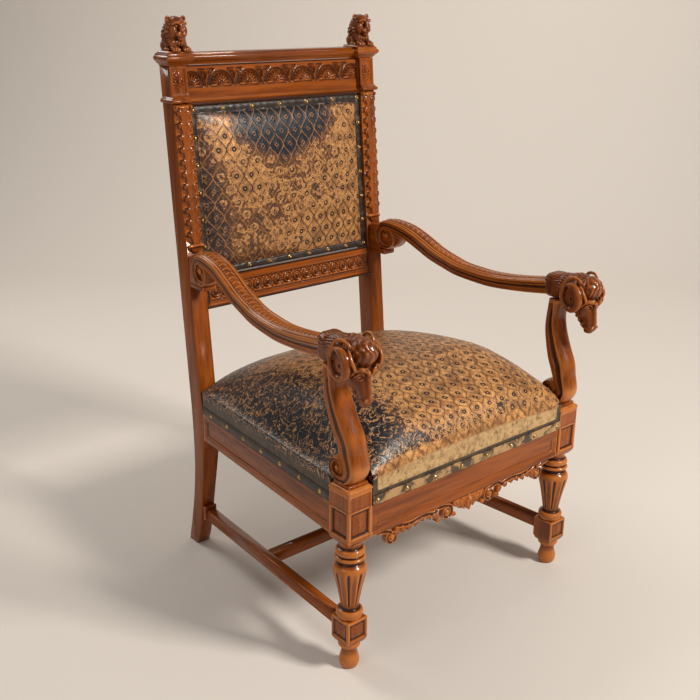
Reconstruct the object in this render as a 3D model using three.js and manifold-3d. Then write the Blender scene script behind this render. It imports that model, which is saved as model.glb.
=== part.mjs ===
// A carved walnut throne chair: lion finials, ram-head arms, scrolled arm supports, turned and
// fluted front legs, raked back posts, and a seat and back covered in embossed leather.
// Millimetres. +Z is up, the front of the chair faces -Y and +X is to the right of a viewer
// who stands in front of it. Right-hand pieces are modelled and left-hand ones are mirrored.
import * as THREE from 'three';
import { mergeVertices } from 'three/addons/utils/BufferGeometryUtils.js';
import Module from 'manifold-3d';

const wasm = await Module();
wasm.setup();

// ---- driving dimensions ------------------------------------------------------------------
const GAP = 0.3; // left between two pieces that touch

const LEG_X = 308; // axis of a front leg from the centre line
const LEG_Y = -298; // the same axis, front to back
const POST_HALF = 29.3; // half the width of the square post on a front leg
const POST_BOTTOM = 294.3;
const POST_SEAM = 361.5; // groove between the panelled block and the plain one
const POST_TOP = 394.6;
const CAP_TOP = 403.5; // top of the small moulded cap that carries the arm support
const BLOCK_HALF = 25.5; // square block low on the leg, where the stretcher enters
const BLOCK_BOTTOM = 68.8;
const BLOCK_TOP = 114.9;
const FLUTES = 8;

const STILE_OUTER = 284; // outer face of a rear stile from the centre line
const STILE_INNER = 241.5;
const FOOT_INNER = 251; // the stile narrows to this inner face at the floor
const RAKE_BASE_Y = 255; // front face of the stiles at RAKE_BASE_Z, where the rake begins
const RAKE_BASE_Z = 409;
const RAKE = Math.atan(0.09075); // lean of the back
const BACK_TOP = 1118.6; // underside of the cornice

const RAIL_BOTTOM = 290;
const RAIL_TOP = 356.2;
const RAIL_THICK = 26;
const FRONT_RAIL_Y = -323; // front face of the front rail
const SIDE_FRONT_X = 331; // outer face of a side rail at the front post
const SIDE_BACK_X = 283.5; // outer face of a side rail at the rear stile

const SEAT_FRONT_Y = -326.2;
const SEAT_BACK_Y = 246; // where the cushion meets the stiles
const SEAT_EDGE_Z = 412; // height of the cushion's shoulder
const SEAT_CROWN = 128; // rise of the dome above the shoulder
const SEAT_PEAK = -0.35; // front-to-back place of the crown, -1 at the front and 1 at the back

const STRIP_HEIGHT = 20; // leather strip nailed along the foot of the cushion
const STRIP_THICK = 2.4;
const NAIL_RADIUS = 4.6;

const LOWER_RAIL = [592, 664]; // lower rail of the back, bottom and top
const PAD = [665, 1034]; // upholstered field of the back, bottom and top
const PAD_DEPTH = 8; // face of the nailed strip behind the front of the stiles
const PAD_EDGE = 15; // width of the nailed strip
const PAD_CROWN = 23;
const FRIEZE_BOTTOM = 1042;
const FRIEZE_DEPTH = 12; // face of the frieze behind the front of the stiles
const ARCH_PITCH = 75;
const ARCH_RADIUS = 34;
const BOSS_PITCH = 28.9;
const BOSS_COUNT = 16;
const LEAF_PAIRS = 11;
const PILASTER = [743, 1030]; // leafy part of a pilaster, bottom and top
const PILASTER_X = 261;
const PILASTER_HALF = 21.5;

const ARM_HALF = 24; // half the width of an arm
const ARM_BACK_X = 271; // middle of an arm at its rear scroll
const ARM_FRONT_X = 322; // middle of an arm at the ram's head
const ARM_BACK_Y = 221;
const ARM_FRONT_Y = -262;
const ARM_EYE = [221, 699]; // eye of the rear scroll, y and z
const HORN_EYE = [-322, 661]; // middle of a ram's curled horn, y and z
const SUPPORT_HALF = 24.5;
const SUPPORT_EYE = [-284, 437]; // eye of the scroll at the foot of a support, y and z

const STRETCHER = [80, 107]; // bottom and top of the stretchers
const STRETCHER_HALF = 12;
const CROSS_Y = 6; // middle of the cross stretcher

const LION_X = 256;
const LION_Y = 338;
const CORNICE_TOP = 1143.5;

// ---- solids ------------------------------------------------------------------------------
function toSolid(geometry) {
  const bare = geometry.clone();
  bare.deleteAttribute('normal');
  bare.deleteAttribute('uv');
  const merged = mergeVertices(bare, 1e-4);
  const places = merged.attributes.position;
  const corners = [];
  let volume = 0;
  const [a, b, c] = [new THREE.Vector3(), new THREE.Vector3(), new THREE.Vector3()];
  for (let i = 0; i < merged.index.count; i += 3) {
    const [p, q, r] = [0, 1, 2].map((k) => merged.index.getX(i + k));
    if (p === q || q === r || r === p) continue;
    corners.push(p, q, r);
    a.fromBufferAttribute(places, p);
    b.fromBufferAttribute(places, q);
    c.fromBufferAttribute(places, r);
    volume += a.dot(b.cross(c));
  }
  if (volume < 0) corners.reverse();
  const mesh = new wasm.Mesh({
    numProp: 3,
    vertProperties: new Float32Array(places.array),
    triVerts: new Uint32Array(corners),
  });
  return new wasm.Manifold(mesh);
}

function toGeometry(solid) {
  const mesh = solid.getMesh();
  const geometry = new THREE.BufferGeometry();
  const places = new Float32Array(mesh.vertProperties);
  geometry.setAttribute('position', new THREE.BufferAttribute(places, 3));
  geometry.setIndex(new THREE.BufferAttribute(new Uint32Array(mesh.triVerts), 1));
  geometry.computeVertexNormals();
  return geometry;
}

function moved(solid, matrix) {
  return toSolid(toGeometry(solid).applyMatrix4(matrix));
}

const mirrored = (solid) => moved(solid, new THREE.Matrix4().makeScale(-1, 1, 1));
const shifted = (solid, x, y, z) => moved(solid, new THREE.Matrix4().makeTranslation(x, y, z));
const union = (...solids) => solids.flat().reduce((sum, solid) => sum.add(solid));
const cut = (solid, ...tools) => tools.flat().reduce((rest, tool) => rest.subtract(tool), solid);

function block(x0, x1, y0, y1, z0, z1) {
  const box = new THREE.BoxGeometry(x1 - x0, y1 - y0, z1 - z0);
  return toSolid(box.translate((x0 + x1) / 2, (y0 + y1) / 2, (z0 + z1) / 2));
}

// Rings of points, all of one count, joined side to side and closed at both ends.
function loft(rings) {
  const count = rings[0].length;
  const points = rings.flat();
  const index = [];
  for (let i = 0; i < (rings.length - 1) * count; i++) {
    const next = (i % count === count - 1) ? i + 1 - count : i + 1;
    index.push(i, next, next + count, i, next + count, i + count);
  }
  for (const end of [0, rings.length - 1]) {
    const middle = [0, 1, 2].map((k) => rings[end].reduce((sum, p) => sum + p[k], 0) / count);
    points.push(middle);
    for (let i = 0; i < count; i++) {
      const pair = [end * count + i, end * count + (i + 1) % count];
      if (end === 0) pair.reverse();
      index.push(points.length - 1, ...pair);
    }
  }
  const geometry = new THREE.BufferGeometry();
  geometry.setAttribute('position', new THREE.Float32BufferAttribute(points.flat(), 3));
  geometry.setIndex(index);
  return toSolid(geometry);
}

function flat(points) {
  return new THREE.Shape(points.map(([u, v]) => new THREE.Vector2(u, v)));
}

// A front outline in x and z, cut through from y0 to y1.
function facePlate(points, y0, y1) {
  const geometry = new THREE.ExtrudeGeometry(flat(points), { depth: y1 - y0, bevelEnabled: false });
  return toSolid(geometry.rotateX(Math.PI / 2).translate(0, y1, 0));
}

// A side outline in y and z, cut through from x0 to x1.
function sidePlate(points, x0, x1) {
  const geometry = new THREE.ExtrudeGeometry(flat(points), { depth: x1 - x0, bevelEnabled: false });
  const turn = new THREE.Matrix4().makeBasis(new THREE.Vector3(0, 1, 0),
    new THREE.Vector3(0, 0, 1), new THREE.Vector3(1, 0, 0));
  return toSolid(geometry.applyMatrix4(turn.setPosition(x0, 0, 0)));
}

// A plan outline in x and y, from z0 to z1.
function planPlate(points, z0, z1) {
  const geometry = new THREE.ExtrudeGeometry(flat(points), { depth: z1 - z0, bevelEnabled: false });
  return toSolid(geometry.translate(0, 0, z0));
}

// Rows of radius and height turned about the vertical line through (x, y).
function turned(rows, sides, x = 0, y = 0, flute = () => 0) {
  return loft(rows.map(([radius, z]) => {
    const ring = [];
    for (let i = 0; i < sides; i++) {
      const angle = ((i + 0.5) / sides) * Math.PI * 2;
      const r = radius - flute(i, z);
      ring.push([x + r * Math.cos(angle), y + r * Math.sin(angle), z]);
    }
    return ring;
  }));
}

// Rows of half width and height of a square that shares one vertical axis.
function squareTurned(rows, x = 0, y = 0) {
  return loft(rows.map(([h, z]) => [[x - h, y - h, z], [x + h, y - h, z], [x + h, y + h, z],
    [x - h, y + h, z]]));
}

// The space cut out of a flat face to leave a sunk pyramid; `out` is the face's normal.
function pyramidPanel(centre, along, up, out, halfWidth, halfHeight, depth) {
  const at = (u, v, w) => centre.map((c, k) => c + along[k] * u + up[k] * v + out[k] * w);
  const corners = [[-1, -1], [1, -1], [1, 1], [-1, 1]];
  const ring = (w) => corners.map(([u, v]) => at(u * halfWidth, v * halfHeight, w));
  const points = [...ring(1), ...ring(-depth), at(0, 0, -0.2)];
  const index = [0, 1, 2, 0, 2, 3];
  for (let i = 0; i < 4; i++) {
    const j = (i + 1) % 4;
    index.push(i, i + 4, j + 4, i, j + 4, j, i + 4, 8, j + 4);
  }
  const geometry = new THREE.BufferGeometry();
  geometry.setAttribute('position', new THREE.Float32BufferAttribute(points.flat(), 3));
  geometry.setIndex(index);
  return toSolid(geometry);
}

// A strip of changing thickness that follows a curve in one upright plane. Each stop is
// [u, v, thickness]; `section` lists [across, out] with `out` from -1 to 1, and `place` puts
// (across, u, v) into space.
function band(stops, section, steps, place) {
  const curve = new THREE.CatmullRomCurve3(stops.map((stop) => new THREE.Vector3(...stop)));
  return loft(curve.getPoints(steps).map((point, i) => {
    const way = curve.getTangent(i / steps).setZ(0).normalize();
    return section.map(([across, out]) => {
      const reach = (out * point.z) / 2;
      return place(across, point.x + way.y * reach, point.y - way.x * reach);
    });
  }));
}

// Stops of a spiral about an eye from rows of [angle in degrees, outer radius, thickness].
function spiral([u, v], rows) {
  return rows.map(([degrees, outer, thickness]) => {
    const angle = THREE.MathUtils.degToRad(degrees);
    const r = outer - thickness / 2;
    return [u + r * Math.cos(angle), v + r * Math.sin(angle), thickness];
  });
}

function arcPoints(u, v, ru, rv, from, to, steps) {
  const points = [];
  for (let i = 0; i <= steps; i++) {
    const angle = THREE.MathUtils.degToRad(from + ((to - from) * i) / steps);
    points.push([u + ru * Math.cos(angle), v + rv * Math.sin(angle)]);
  }
  return points;
}

// A pointed leaf lying on a front face, raised along its middle. It grows from (x, z) towards
// `degrees`, and `face` is the y of the ground it lies on.
function leaf(x, z, degrees, length, width, face, rise) {
  const angle = THREE.MathUtils.degToRad(degrees);
  const at = (along, across, y) => [x + along * Math.cos(angle) - across * Math.sin(angle), y,
    z + along * Math.sin(angle) + across * Math.cos(angle)];
  const rim = [[0, 0], [0.45, -0.5], [1, 0], [0.45, 0.5]];
  const ground = rim.map(([u, v]) => at(u * length, v * width, face + 1));
  const crest = rim.map(([u, v]) => at((0.15 + 0.6 * u) * length, 0.15 * v * width, face - rise));
  return loft([ground, crest]);
}

// A low round boss on a front face.
function boss(x, z, face, radius, rise, sides) {
  const ring = (r, y) => {
    const points = [];
    for (let i = 0; i < sides; i++) {
      const angle = (i / sides) * Math.PI * 2;
      points.push([x + r * Math.cos(angle), y, z + r * Math.sin(angle)]);
    }
    return points;
  };
  return loft([ring(radius, face + 1), ring(radius * 0.55, face - rise)]);
}

// A ball of any three radii.
function ball(x, y, z, rx, ry, rz, sides, rows) {
  return toSolid(new THREE.SphereGeometry(1, sides, rows).rotateX(Math.PI / 2)
    .scale(rx, ry, rz).translate(x, y, z));
}

// ---- legs and posts ----------------------------------------------------------------------
function frontLeg() {
  const post = squareTurned([[23.5, 282], [POST_HALF, POST_BOTTOM], [POST_HALF, POST_SEAM - 1],
    [POST_HALF - 1, POST_SEAM], [POST_HALF, POST_SEAM + 1], [POST_HALF, POST_TOP],
    [POST_HALF + 1, POST_TOP + 1.5], [POST_HALF + 1, POST_TOP + 4], [POST_HALF - 5, CAP_TOP]]);
  const inVase = (z) => z < 225 && z > 136;
  const vase = turned([[22, 290], [30.4, 262], [29.4, 247], [23.5, 241], [33.6, 226],
    [30, 202], [17.6, 140], [26.6, 128], [23, 112]], 2 * FLUTES, 0, 0,
    (i, z) => (inVase(z) && i % 2 ? 3 : 0));
  const lower = squareTurned([[20.5, 58], [BLOCK_HALF, BLOCK_BOTTOM], [BLOCK_HALF, BLOCK_TOP]]);
  const foot = turned([[20, 62], [22.6, 53], [16.2, 44], [15.8, 35], [20.2, 18], [18.6, 7],
    [15.6, 0]], 8);
  const [px, pz] = [POST_HALF - 6.5, (POST_BOTTOM + POST_SEAM) / 2];
  const ph = (POST_SEAM - POST_BOTTOM) / 2 - 7;
  const [bx, bz] = [BLOCK_HALF - 6, (BLOCK_BOTTOM + BLOCK_TOP) / 2];
  const bh = (BLOCK_TOP - BLOCK_BOTTOM) / 2 - 6;
  const up = [0, 0, 1];
  return cut(union(post, vase, lower, foot),
    pyramidPanel([0, -POST_HALF, pz], [1, 0, 0], up, [0, -1, 0], px, ph, 3.2),
    pyramidPanel([POST_HALF, 0, pz], [0, 1, 0], up, [1, 0, 0], px, ph, 3.2),
    pyramidPanel([0, -BLOCK_HALF, bz], [1, 0, 0], up, [0, -1, 0], bx, bh, 2.8),
    pyramidPanel([BLOCK_HALF, 0, bz], [0, 1, 0], up, [1, 0, 0], bx, bh, 2.8));
}

// Rows of height, inner face, front and back of a rear stile, from the floor to the cornice.
const rakeY = (z) => RAKE_BASE_Y + (z - RAKE_BASE_Z) * Math.tan(RAKE);
const STILE_ROWS = [
  [0, FOOT_INNER, 295, 331], [30, FOOT_INNER, 284, 324], [72, FOOT_INNER, 274, 314],
  [129, 249.5, 265.5, 302.5], [170, 247.5, 260, 297], [212, 245, 255, 293],
  [262, STILE_INNER, 250.5, 292], [316, STILE_INNER, 248, 293.5], [370, STILE_INNER, 249, 296.5],
  [RAKE_BASE_Z, STILE_INNER, RAKE_BASE_Y, 300], [BACK_TOP - GAP, STILE_INNER, rakeY(BACK_TOP), 361],
];

function rearStile() {
  const post = loft(STILE_ROWS.map(([z, inner, front, back]) => [[inner, front, z],
    [STILE_OUTER, front, z], [STILE_OUTER, back, z], [inner, back, z]]));
  const collarY = rakeY(1048) - 9;
  const collar = loft([[0, FRIEZE_BOTTOM], [6, FRIEZE_BOTTOM + 1.5], [6, 1050], [2.5, 1052],
    [2.5, 1055]].map(([out, z]) => [[STILE_INNER, collarY + 6 - out, z],
    [STILE_OUTER + out, collarY + 6 - out, z], [STILE_OUTER + out, 353, z], [STILE_INNER, 353, z]]));
  const [low, high] = [1063, 1112];
  const middle = (low + high) / 2;
  const x = (STILE_INNER + STILE_OUTER) / 2;
  const face = rakeY(middle);
  const panel = block(x - 15, x + 15, face - 10, face + 3.5, low, high);
  const carving = [leaf(x, middle + 2, 90, 21, 19, face + 3.5, 5),
    leaf(x, middle - 2, 270, 21, 19, face + 3.5, 5), boss(x, middle, face + 3.5, 4, 5, 6)];
  return union(cut(union(post, collar), panel), carving);
}

// ---- the raked back ----------------------------------------------------------------------
// Pieces between the stiles are drawn upright, with y = 0 at the front of the stiles and z as
// the height above the start of the rake; the group that holds them leans them back.
const lean = (z) => (z - RAKE_BASE_Z) / Math.cos(RAKE);

// Two leaves that spread up and out from one foot at height z, on the middle line of a pilaster.
function leafPair(z, height, face) {
  const half = [[0, 0], [12, 0.22], [18, 0.95], [0, 0.62]];
  const ring = (shrink, y) => {
    const right = half.map(([x, v]) => [x * shrink, y, z + height * (0.5 + (v - 0.5) * shrink)]);
    const left = half.slice(1, 3).reverse().map(([x, v]) => [-x * shrink, y,
      z + height * (0.5 + (v - 0.5) * shrink)]);
    return [...right, ...left];
  };
  return loft([ring(1, face + 1), ring(0.66, face - 5)]);
}

function pilaster() {
  const [low, high] = PILASTER.map(lean);
  const half = PILASTER_HALF;
  const back = -GAP;
  const outline = [[-half, high], [-half, low + 12], ...arcPoints(0, low + 12, half - 2, 12, 180,
    360, 4), [half, low + 12], [half, high]];
  const field = facePlate(outline, -6, back);
  const pitch = (high - low - 8) / LEAF_PAIRS;
  const leaves = [];
  for (let i = 0; i < LEAF_PAIRS; i++) leaves.push(leafPair(low + 6 + i * pitch, pitch - 1, -6));
  const beadRow = facePlate([[-half, high], [half, high], [half, high + 8], [14, high + 8],
    [13.5, high + 3], [13, high + 8], [-13, high + 8], [-13.5, high + 3], [-14, high + 8],
    [-half, high + 8]], -10, back);
  const ring = block(-half + 2, half - 2, -9, back, low - 7, low + 1);
  const bracket = loft([[8, -3, low - 20], [18, -8, low - 7]].map(([w, y, z]) => [[-w, y, z],
    [w, y, z], [w, back, z], [-w, back, z]]));
  return shifted(union(field, leaves, beadRow, ring, bracket), PILASTER_X + 1, 0, 0);
}

function scallopShell(x, z, face) {
  const petals = 4;
  const radius = ARCH_RADIUS - 7;
  const rim = [];
  for (let i = 0; i <= 2 * petals; i++) {
    const angle = (Math.PI * i) / (2 * petals);
    const r = i % 2 ? radius : radius - 3.5;
    rim.push([x + r * Math.cos(angle), z + 2 + r * Math.sin(angle), i % 2 ? 4.2 : 1]);
  }
  const ground = [[x, face + 1, z + 1], ...rim.map(([u, v]) => [u, face + 1, v])];
  const crest = [[x, face - 1.5, z + 1], ...rim.map(([u, v, rise]) => [u, face - rise, v])];
  return loft([ground, crest]);
}

function arch(x, z, face) {
  const outer = arcPoints(x, z, ARCH_RADIUS, ARCH_RADIUS + 3, 0, 180, 5);
  const inner = arcPoints(x, z, ARCH_RADIUS - 5.5, ARCH_RADIUS - 3, 180, 0, 5);
  return facePlate([...outer, ...inner], face - 4, face + 1);
}

function frieze() {
  const half = STILE_INNER - GAP;
  const [low, high] = [lean(FRIEZE_BOTTOM), lean(BACK_TOP) + 0.7];
  const tongue = lean(PAD[1]) + GAP; // the board's foot, let in behind the nailed strip
  const face = FRIEZE_DEPTH + 4;
  const springing = low + 33;
  const nose = FRIEZE_DEPTH - 11;
  const profile = [[FRIEZE_DEPTH + 22, tongue], [FRIEZE_DEPTH - 2, tongue],
    [FRIEZE_DEPTH - 2, low], [nose + 3, low], [nose, low + 3], [nose, low + 7],
    [FRIEZE_DEPTH - 4, low + 10], [face - 4, low + 12], [face - 4, springing], [face, springing],
    [face, high - 7], [face - 4, high - 7], [face - 4, high], [FRIEZE_DEPTH + 22, high]];
  const board = sidePlate(profile, -half, half);
  const carving = [];
  for (let i = -2; i <= 2; i++) {
    const x = i * ARCH_PITCH;
    carving.push(arch(x, springing - 1, face), scallopShell(x, springing, face));
  }
  for (let i = -2.5; i <= 2.5; i++) {
    carving.push(leaf(i * ARCH_PITCH, springing + 12, 90, 25, 16, face, 3.5));
  }
  const field = block(-half + 1, half - 1, -20, face + 2, springing - 3, high - 0.5);
  for (const side of [-1, 1]) {
    const x = side * 3 * ARCH_PITCH;
    const motif = union(arch(x, springing - 1, face), scallopShell(x, springing, face));
    carving.push(motif.intersect(field));
  }
  return union(board, carving);
}

function lowerBackRail() {
  const half = STILE_INNER - GAP;
  const [low, high] = LOWER_RAIL.map(lean);
  const middle = low + 36;
  const body = block(-half, half, -0.5, 27, low + 7, high);
  const sunk = block(-half + 7, half - 7, -5, 4, middle - 15.5, middle + 15.5);
  const lip = loft([[2, low], [-6, low + 2], [-6, low + 6], [-1, low + 10]].map(([y, z]) => [
    [-half, y, z], [half, y, z], [half, 27, z], [-half, 27, z]]));
  const bosses = [];
  for (let i = 0; i < BOSS_COUNT; i++) {
    bosses.push(boss((i - (BOSS_COUNT - 1) / 2) * BOSS_PITCH, middle, 4, 12, 5, 6));
  }
  return union(cut(union(body, lip), sunk), bosses);
}

// A dome over a rectangle, flat at its rim: `rise` at (u, v), both from -1 to 1.
function domeSheet(columns, rows, place, wall) {
  const rings = [];
  for (let r = 0; r <= rows; r++) {
    const v = (2 * r) / rows - 1;
    const ring = [];
    for (let c = 0; c <= columns; c++) ring.push(place((2 * c) / columns - 1, v));
    ring.push(wall(1, v), wall(-1, v));
    rings.push(ring);
  }
  return loft(rings);
}

function backPad() {
  const half = STILE_INNER - GAP - PAD_EDGE - 1;
  const [low, high] = PAD.map(lean);
  const [z0, z1] = [low + PAD_EDGE + 1.3, high - PAD_EDGE - 1.3];
  const at = (u, v, y) => [u * half, y, (z0 + z1) / 2 + (v * (z1 - z0)) / 2];
  const swell = (t) => 1 - Math.abs(t) ** 3;
  const place = (u, v) => at(u, v, PAD_DEPTH - PAD_CROWN * (swell(u) * swell(v)) ** 0.6);
  return domeSheet(8, 8, place, (u, v) => at(u, v, 27));
}

function nail(x, z, face) {
  const cone = new THREE.ConeGeometry(NAIL_RADIUS + 0.5, 5.5, 5).rotateX(Math.PI);
  return toSolid(cone.translate(x, face - 1.75, z));
}

function backTrim() {
  const half = STILE_INNER - 2 * GAP;
  const [low, high] = [lean(PAD[0]), lean(PAD[1])];
  const frame = cut(block(-half, half, PAD_DEPTH, 27, low, high),
    block(-half + PAD_EDGE, half - PAD_EDGE, 0, 40, low + PAD_EDGE, high - PAD_EDGE));
  const inset = PAD_EDGE / 2;
  const nails = [];
  for (let i = -3; i <= 3; i++) {
    const x = (i * (half - inset)) / 3;
    nails.push(nail(x, low + inset, PAD_DEPTH), nail(x, high - inset, PAD_DEPTH));
  }
  for (let i = 1; i <= 4; i++) {
    const z = low + inset + (i * (high - low - 2 * inset)) / 5;
    nails.push(nail(-half + inset, z, PAD_DEPTH), nail(half - inset, z, PAD_DEPTH));
  }
  return union(frame, nails);
}

// ---- cornice and finials -----------------------------------------------------------------
function cornice() {
  const front = rakeY(BACK_TOP);
  const [run, breakX] = [front + FRIEZE_DEPTH, STILE_INNER - 3];
  const rows = [[0.5, BACK_TOP], [1.5, 1122], [5, 1126], [8.5, 1128], [10.5, 1131], [11, 1134.5],
    [9.5, 1138], [6.5, 1139.5], [6.5, CORNICE_TOP - GAP]];
  const bar = (x0, x1, face) => loft(rows.map(([out, z]) => {
    const back = 361 + Math.min(out, 4);
    return [[x0(out), face - out, z], [x1(out), face - out, z], [x1(out), back, z],
      [x0(out), back, z]];
  }));
  const centre = bar(() => -breakX - 5, () => breakX + 5, run);
  const end = bar((out) => breakX - out, (out) => STILE_OUTER + out, front);
  return union(centre, end, mirrored(end));
}

function lion() {
  const base = CORNICE_TOP;
  const plinth = block(-32, 32, -24, 24, base, base + 4);
  const trunk = loft([[0, 20, 19, 4], [14, 21, 20, 3], [30, 17, 16, 1], [46, 14, 13, 0]]
    .map(([z, halfX, halfY, y]) => arcPoints(0, y, halfX, halfY, 0, 300, 5).map(([u, v]) => [u, v,
      base + 3 + z])));
  const mane = ball(0, -2, base + 49, 25, 20, 25, 8, 4);
  const face = ball(0, -15, base + 52, 17, 12, 17, 6, 4);
  const muzzle = ball(0, -24, base + 44, 9.5, 8, 8.5, 5, 4);
  const parts = [plinth, trunk, mane, face, muzzle];
  for (const side of [-1, 1]) {
    parts.push(ball(side * 11, -20, base + 8, 9.5, 10, 7, 6, 3));
    parts.push(ball(side * 16, -3, base + 71, 6, 4, 6, 5, 3));
  }
  return shifted(union(parts), LION_X, LION_Y, 0);
}

// ---- arms --------------------------------------------------------------------------------
// An arm spreads outwards towards the front, so its middle moves with y.
function armPlace(across, y, z) {
  const t = (ARM_BACK_Y - y) / (ARM_BACK_Y - ARM_FRONT_Y);
  return [ARM_BACK_X + (ARM_FRONT_X - ARM_BACK_X) * Math.min(t, 1) + across, y, z];
}

const ARM_SECTION = [[24, 0.6], [17, 0.95], [6, 1.14], [-6, 1.14], [-17, 0.95], [-24, 0.6],
  [-22.5, -1], [22.5, -1]];

const plainSection = (half) => [[half, -1], [half, 1], [-half, 1], [-half, -1]];

function ramHead() {
  const spine = [[-238, 664, 25, 20, 180], [-250, 668, 29, 30, 182], [-275, 672, 31, 36, 186],
    [-303, 675, 32, 38, 196], [-328, 670, 31, 38, 218], [-346, 651, 27, 29, 243],
    [-355, 618, 17, 18, 261], [-357, 594, 14.5, 15, 264], [-357, 587, 9, 10, 266]];
  const head = loft(spine.map(([y, z, halfX, halfUp, degrees]) => {
    const angle = THREE.MathUtils.degToRad(degrees);
    return arcPoints(0, 0, halfX, halfUp, 0, 315, 7).map(([x, up]) => armPlace(x,
      y - up * -Math.sin(angle), z - up * Math.cos(angle)));
  }));
  const parts = [head];
  for (const side of [-1, 1]) {
    const stops = spiral(HORN_EYE, [[-20, 40, 13], [30, 41, 16], [75, 40, 17], [120, 38, 16],
      [165, 36, 15], [210, 34, 14], [255, 32, 13], [300, 28, 11], [345, 24, 10], [390, 20, 8],
      [420, 15, 6]]).map(([y, z, t]) => [2 * HORN_EYE[0] - y, z, t]);
    const section = arcPoints(0, 0, 1, 1, 0, 270, 3);
    const horn = band(stops, section, 9, (across, y, z) => armPlace(side * (31 + across * 7.5),
      y, z));
    parts.push(horn);
  }
  return union(parts);
}

function arm() {
  const curl = spiral(ARM_EYE, [[-300, 12, 7], [-255, 15, 8], [-225, 21, 9], [-180, 27, 10],
    [-135, 31, 11], [-90, 34, 12], [-45, 35, 13], [0, 36, 15], [45, 37, 19], [85, 37, 23]]);
  const run = [[178, 718, 27], [145, 707, 28], [112, 692, 28], [80, 677, 27], [40, 664, 26],
    [0, 653.5, 26], [-60, 647.5, 27], [-100, 646.5, 28], [-150, 650, 29], [-200, 656, 31],
    [-252, 665, 34]];
  const scroll = band(curl, plainSection(ARM_HALF), 10, armPlace);
  const body = band([curl[curl.length - 1], ...run], ARM_SECTION, 8, armPlace);
  const web = band([[ARM_EYE[0] + 0.1, ARM_EYE[1] - 29, 50], [ARM_EYE[0], ARM_EYE[1] + 29, 50]],
    plainSection(ARM_HALF - 4), 1, armPlace);
  const face = rakeY(ARM_EYE[1]);
  const backBlock = block(ARM_BACK_X - 24, ARM_BACK_X + 15, ARM_EYE[0] + 26, face - 3.5, 661, 721);
  return union(body, scroll, web, backBlock, ramHead());
}

function armSupport() {
  const curl = spiral(SUPPORT_EYE, [[180, 49, 30], [225, 41, 22], [270, 32, 15], [315, 27, 12.5],
    [360, 25, 12], [405, 24, 11.5], [450, 22.5, 11], [495, 18, 9], [540, 14, 8], [600, 12, 7]]);
  const run = [[-270, 634, 26], [-268, 600, 26], [-271, 574, 31], [-280, 545, 36],
    [-291, 518, 41], [-303, 494, 42], [-310, 470, 37]];
  const section = [[SUPPORT_HALF, -1], [-SUPPORT_HALF, -1], [-SUPPORT_HALF, 0.3], [-14, 0.92],
    [14, 0.92], [SUPPORT_HALF, 0.3]];
  const place = (across, y, z) => [LEG_X + across + (z > 480 ? (z - 480) * 0.07 : 0), y, z];
  const body = band([...run, ...curl.slice(0, 3)], section.map(([a, o]) => [a, -o]), 8, place);
  const scroll = band(curl.slice(1), plainSection(SUPPORT_HALF), 10, place);
  const web = block(LEG_X - 20.5, LEG_X + 20.5, SUPPORT_EYE[0] - 26, SUPPORT_EYE[0] + 15,
    SUPPORT_EYE[1] - 17, SUPPORT_EYE[1] + 17);
  const foot = block(LEG_X - 23, LEG_X + 23, LEG_Y - 22, LEG_Y + 22, CAP_TOP + GAP, CAP_TOP + 4);
  return union(body, scroll, web, foot);
}

// ---- seat frame --------------------------------------------------------------------------
function frontRail() {
  const half = LEG_X - POST_HALF - GAP;
  const body = block(-half, half, FRONT_RAIL_Y, FRONT_RAIL_Y + RAIL_THICK, RAIL_BOTTOM, RAIL_TOP);
  const sunk = cut(block(-half + 12, half - 12, FRONT_RAIL_Y - 5, FRONT_RAIL_Y + 2.5, 304, 333),
    block(-half + 17, half - 17, FRONT_RAIL_Y - 6, FRONT_RAIL_Y + 3, 309, 329));
  const foot = block(-half, half, FRONT_RAIL_Y - 2, FRONT_RAIL_Y + 1, RAIL_BOTTOM, 298);
  return union(cut(body, sunk), foot);
}

// Rear end of a side rail, square to the stile.
const SIDE_Y = [LEG_Y + POST_HALF + GAP, 247.6];
const sideX = (y) => SIDE_FRONT_X
  + ((SIDE_BACK_X - SIDE_FRONT_X) * (y - SIDE_Y[0])) / (SIDE_Y[1] - SIDE_Y[0]);

// A bar that follows the outer face of the side rail, `inset` within it.
function sideBar(inset, thick, y0, y1, z0, z1) {
  return planPlate([[sideX(y0) - inset, y0], [sideX(y1) - inset, y1],
    [sideX(y1) - inset - thick, y1], [sideX(y0) - inset - thick, y0]], z0, z1);
}

function sideRail() {
  const [y0, y1] = SIDE_Y;
  const body = sideBar(0, RAIL_THICK, y0, y1, RAIL_BOTTOM, RAIL_TOP);
  const sunk = cut(sideBar(-2, 4.5, y0 + 12, y1 - 12, 304, 346),
    sideBar(-3, 7, y0 + 17, y1 - 17, 310, 341));
  return cut(body, sunk);
}

// The back rail reaches forward under the cushion's rear edge.
function backSeatRail() {
  const half = STILE_INNER - GAP;
  return block(-half, half, 243, 258 + RAIL_THICK, RAIL_BOTTOM, RAIL_TOP);
}

// A flat pierced scroll strip in the plane of the front rail.
function tendril(stops, steps) {
  const [y0, y1] = [FRONT_RAIL_Y + 3, FRONT_RAIL_Y + 16];
  const section = [[y0, -1], [y0, 1], [y1, 1], [y1, -1]];
  return band(stops, section, steps, (across, x, z) => [x, across, z]);
}

function apronLeaf(x, z, degrees, length, width) {
  const angle = THREE.MathUtils.degToRad(degrees);
  const rim = [[-0.15, 0], [0.4, -0.5], [1, 0], [0.4, 0.5]];
  const points = rim.map(([u, v]) => [x + u * length * Math.cos(angle) - v * width
    * Math.sin(angle), z + u * length * Math.sin(angle) + v * width * Math.cos(angle)]);
  return facePlate(points, FRONT_RAIL_Y + 2, FRONT_RAIL_Y + 15);
}

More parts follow.
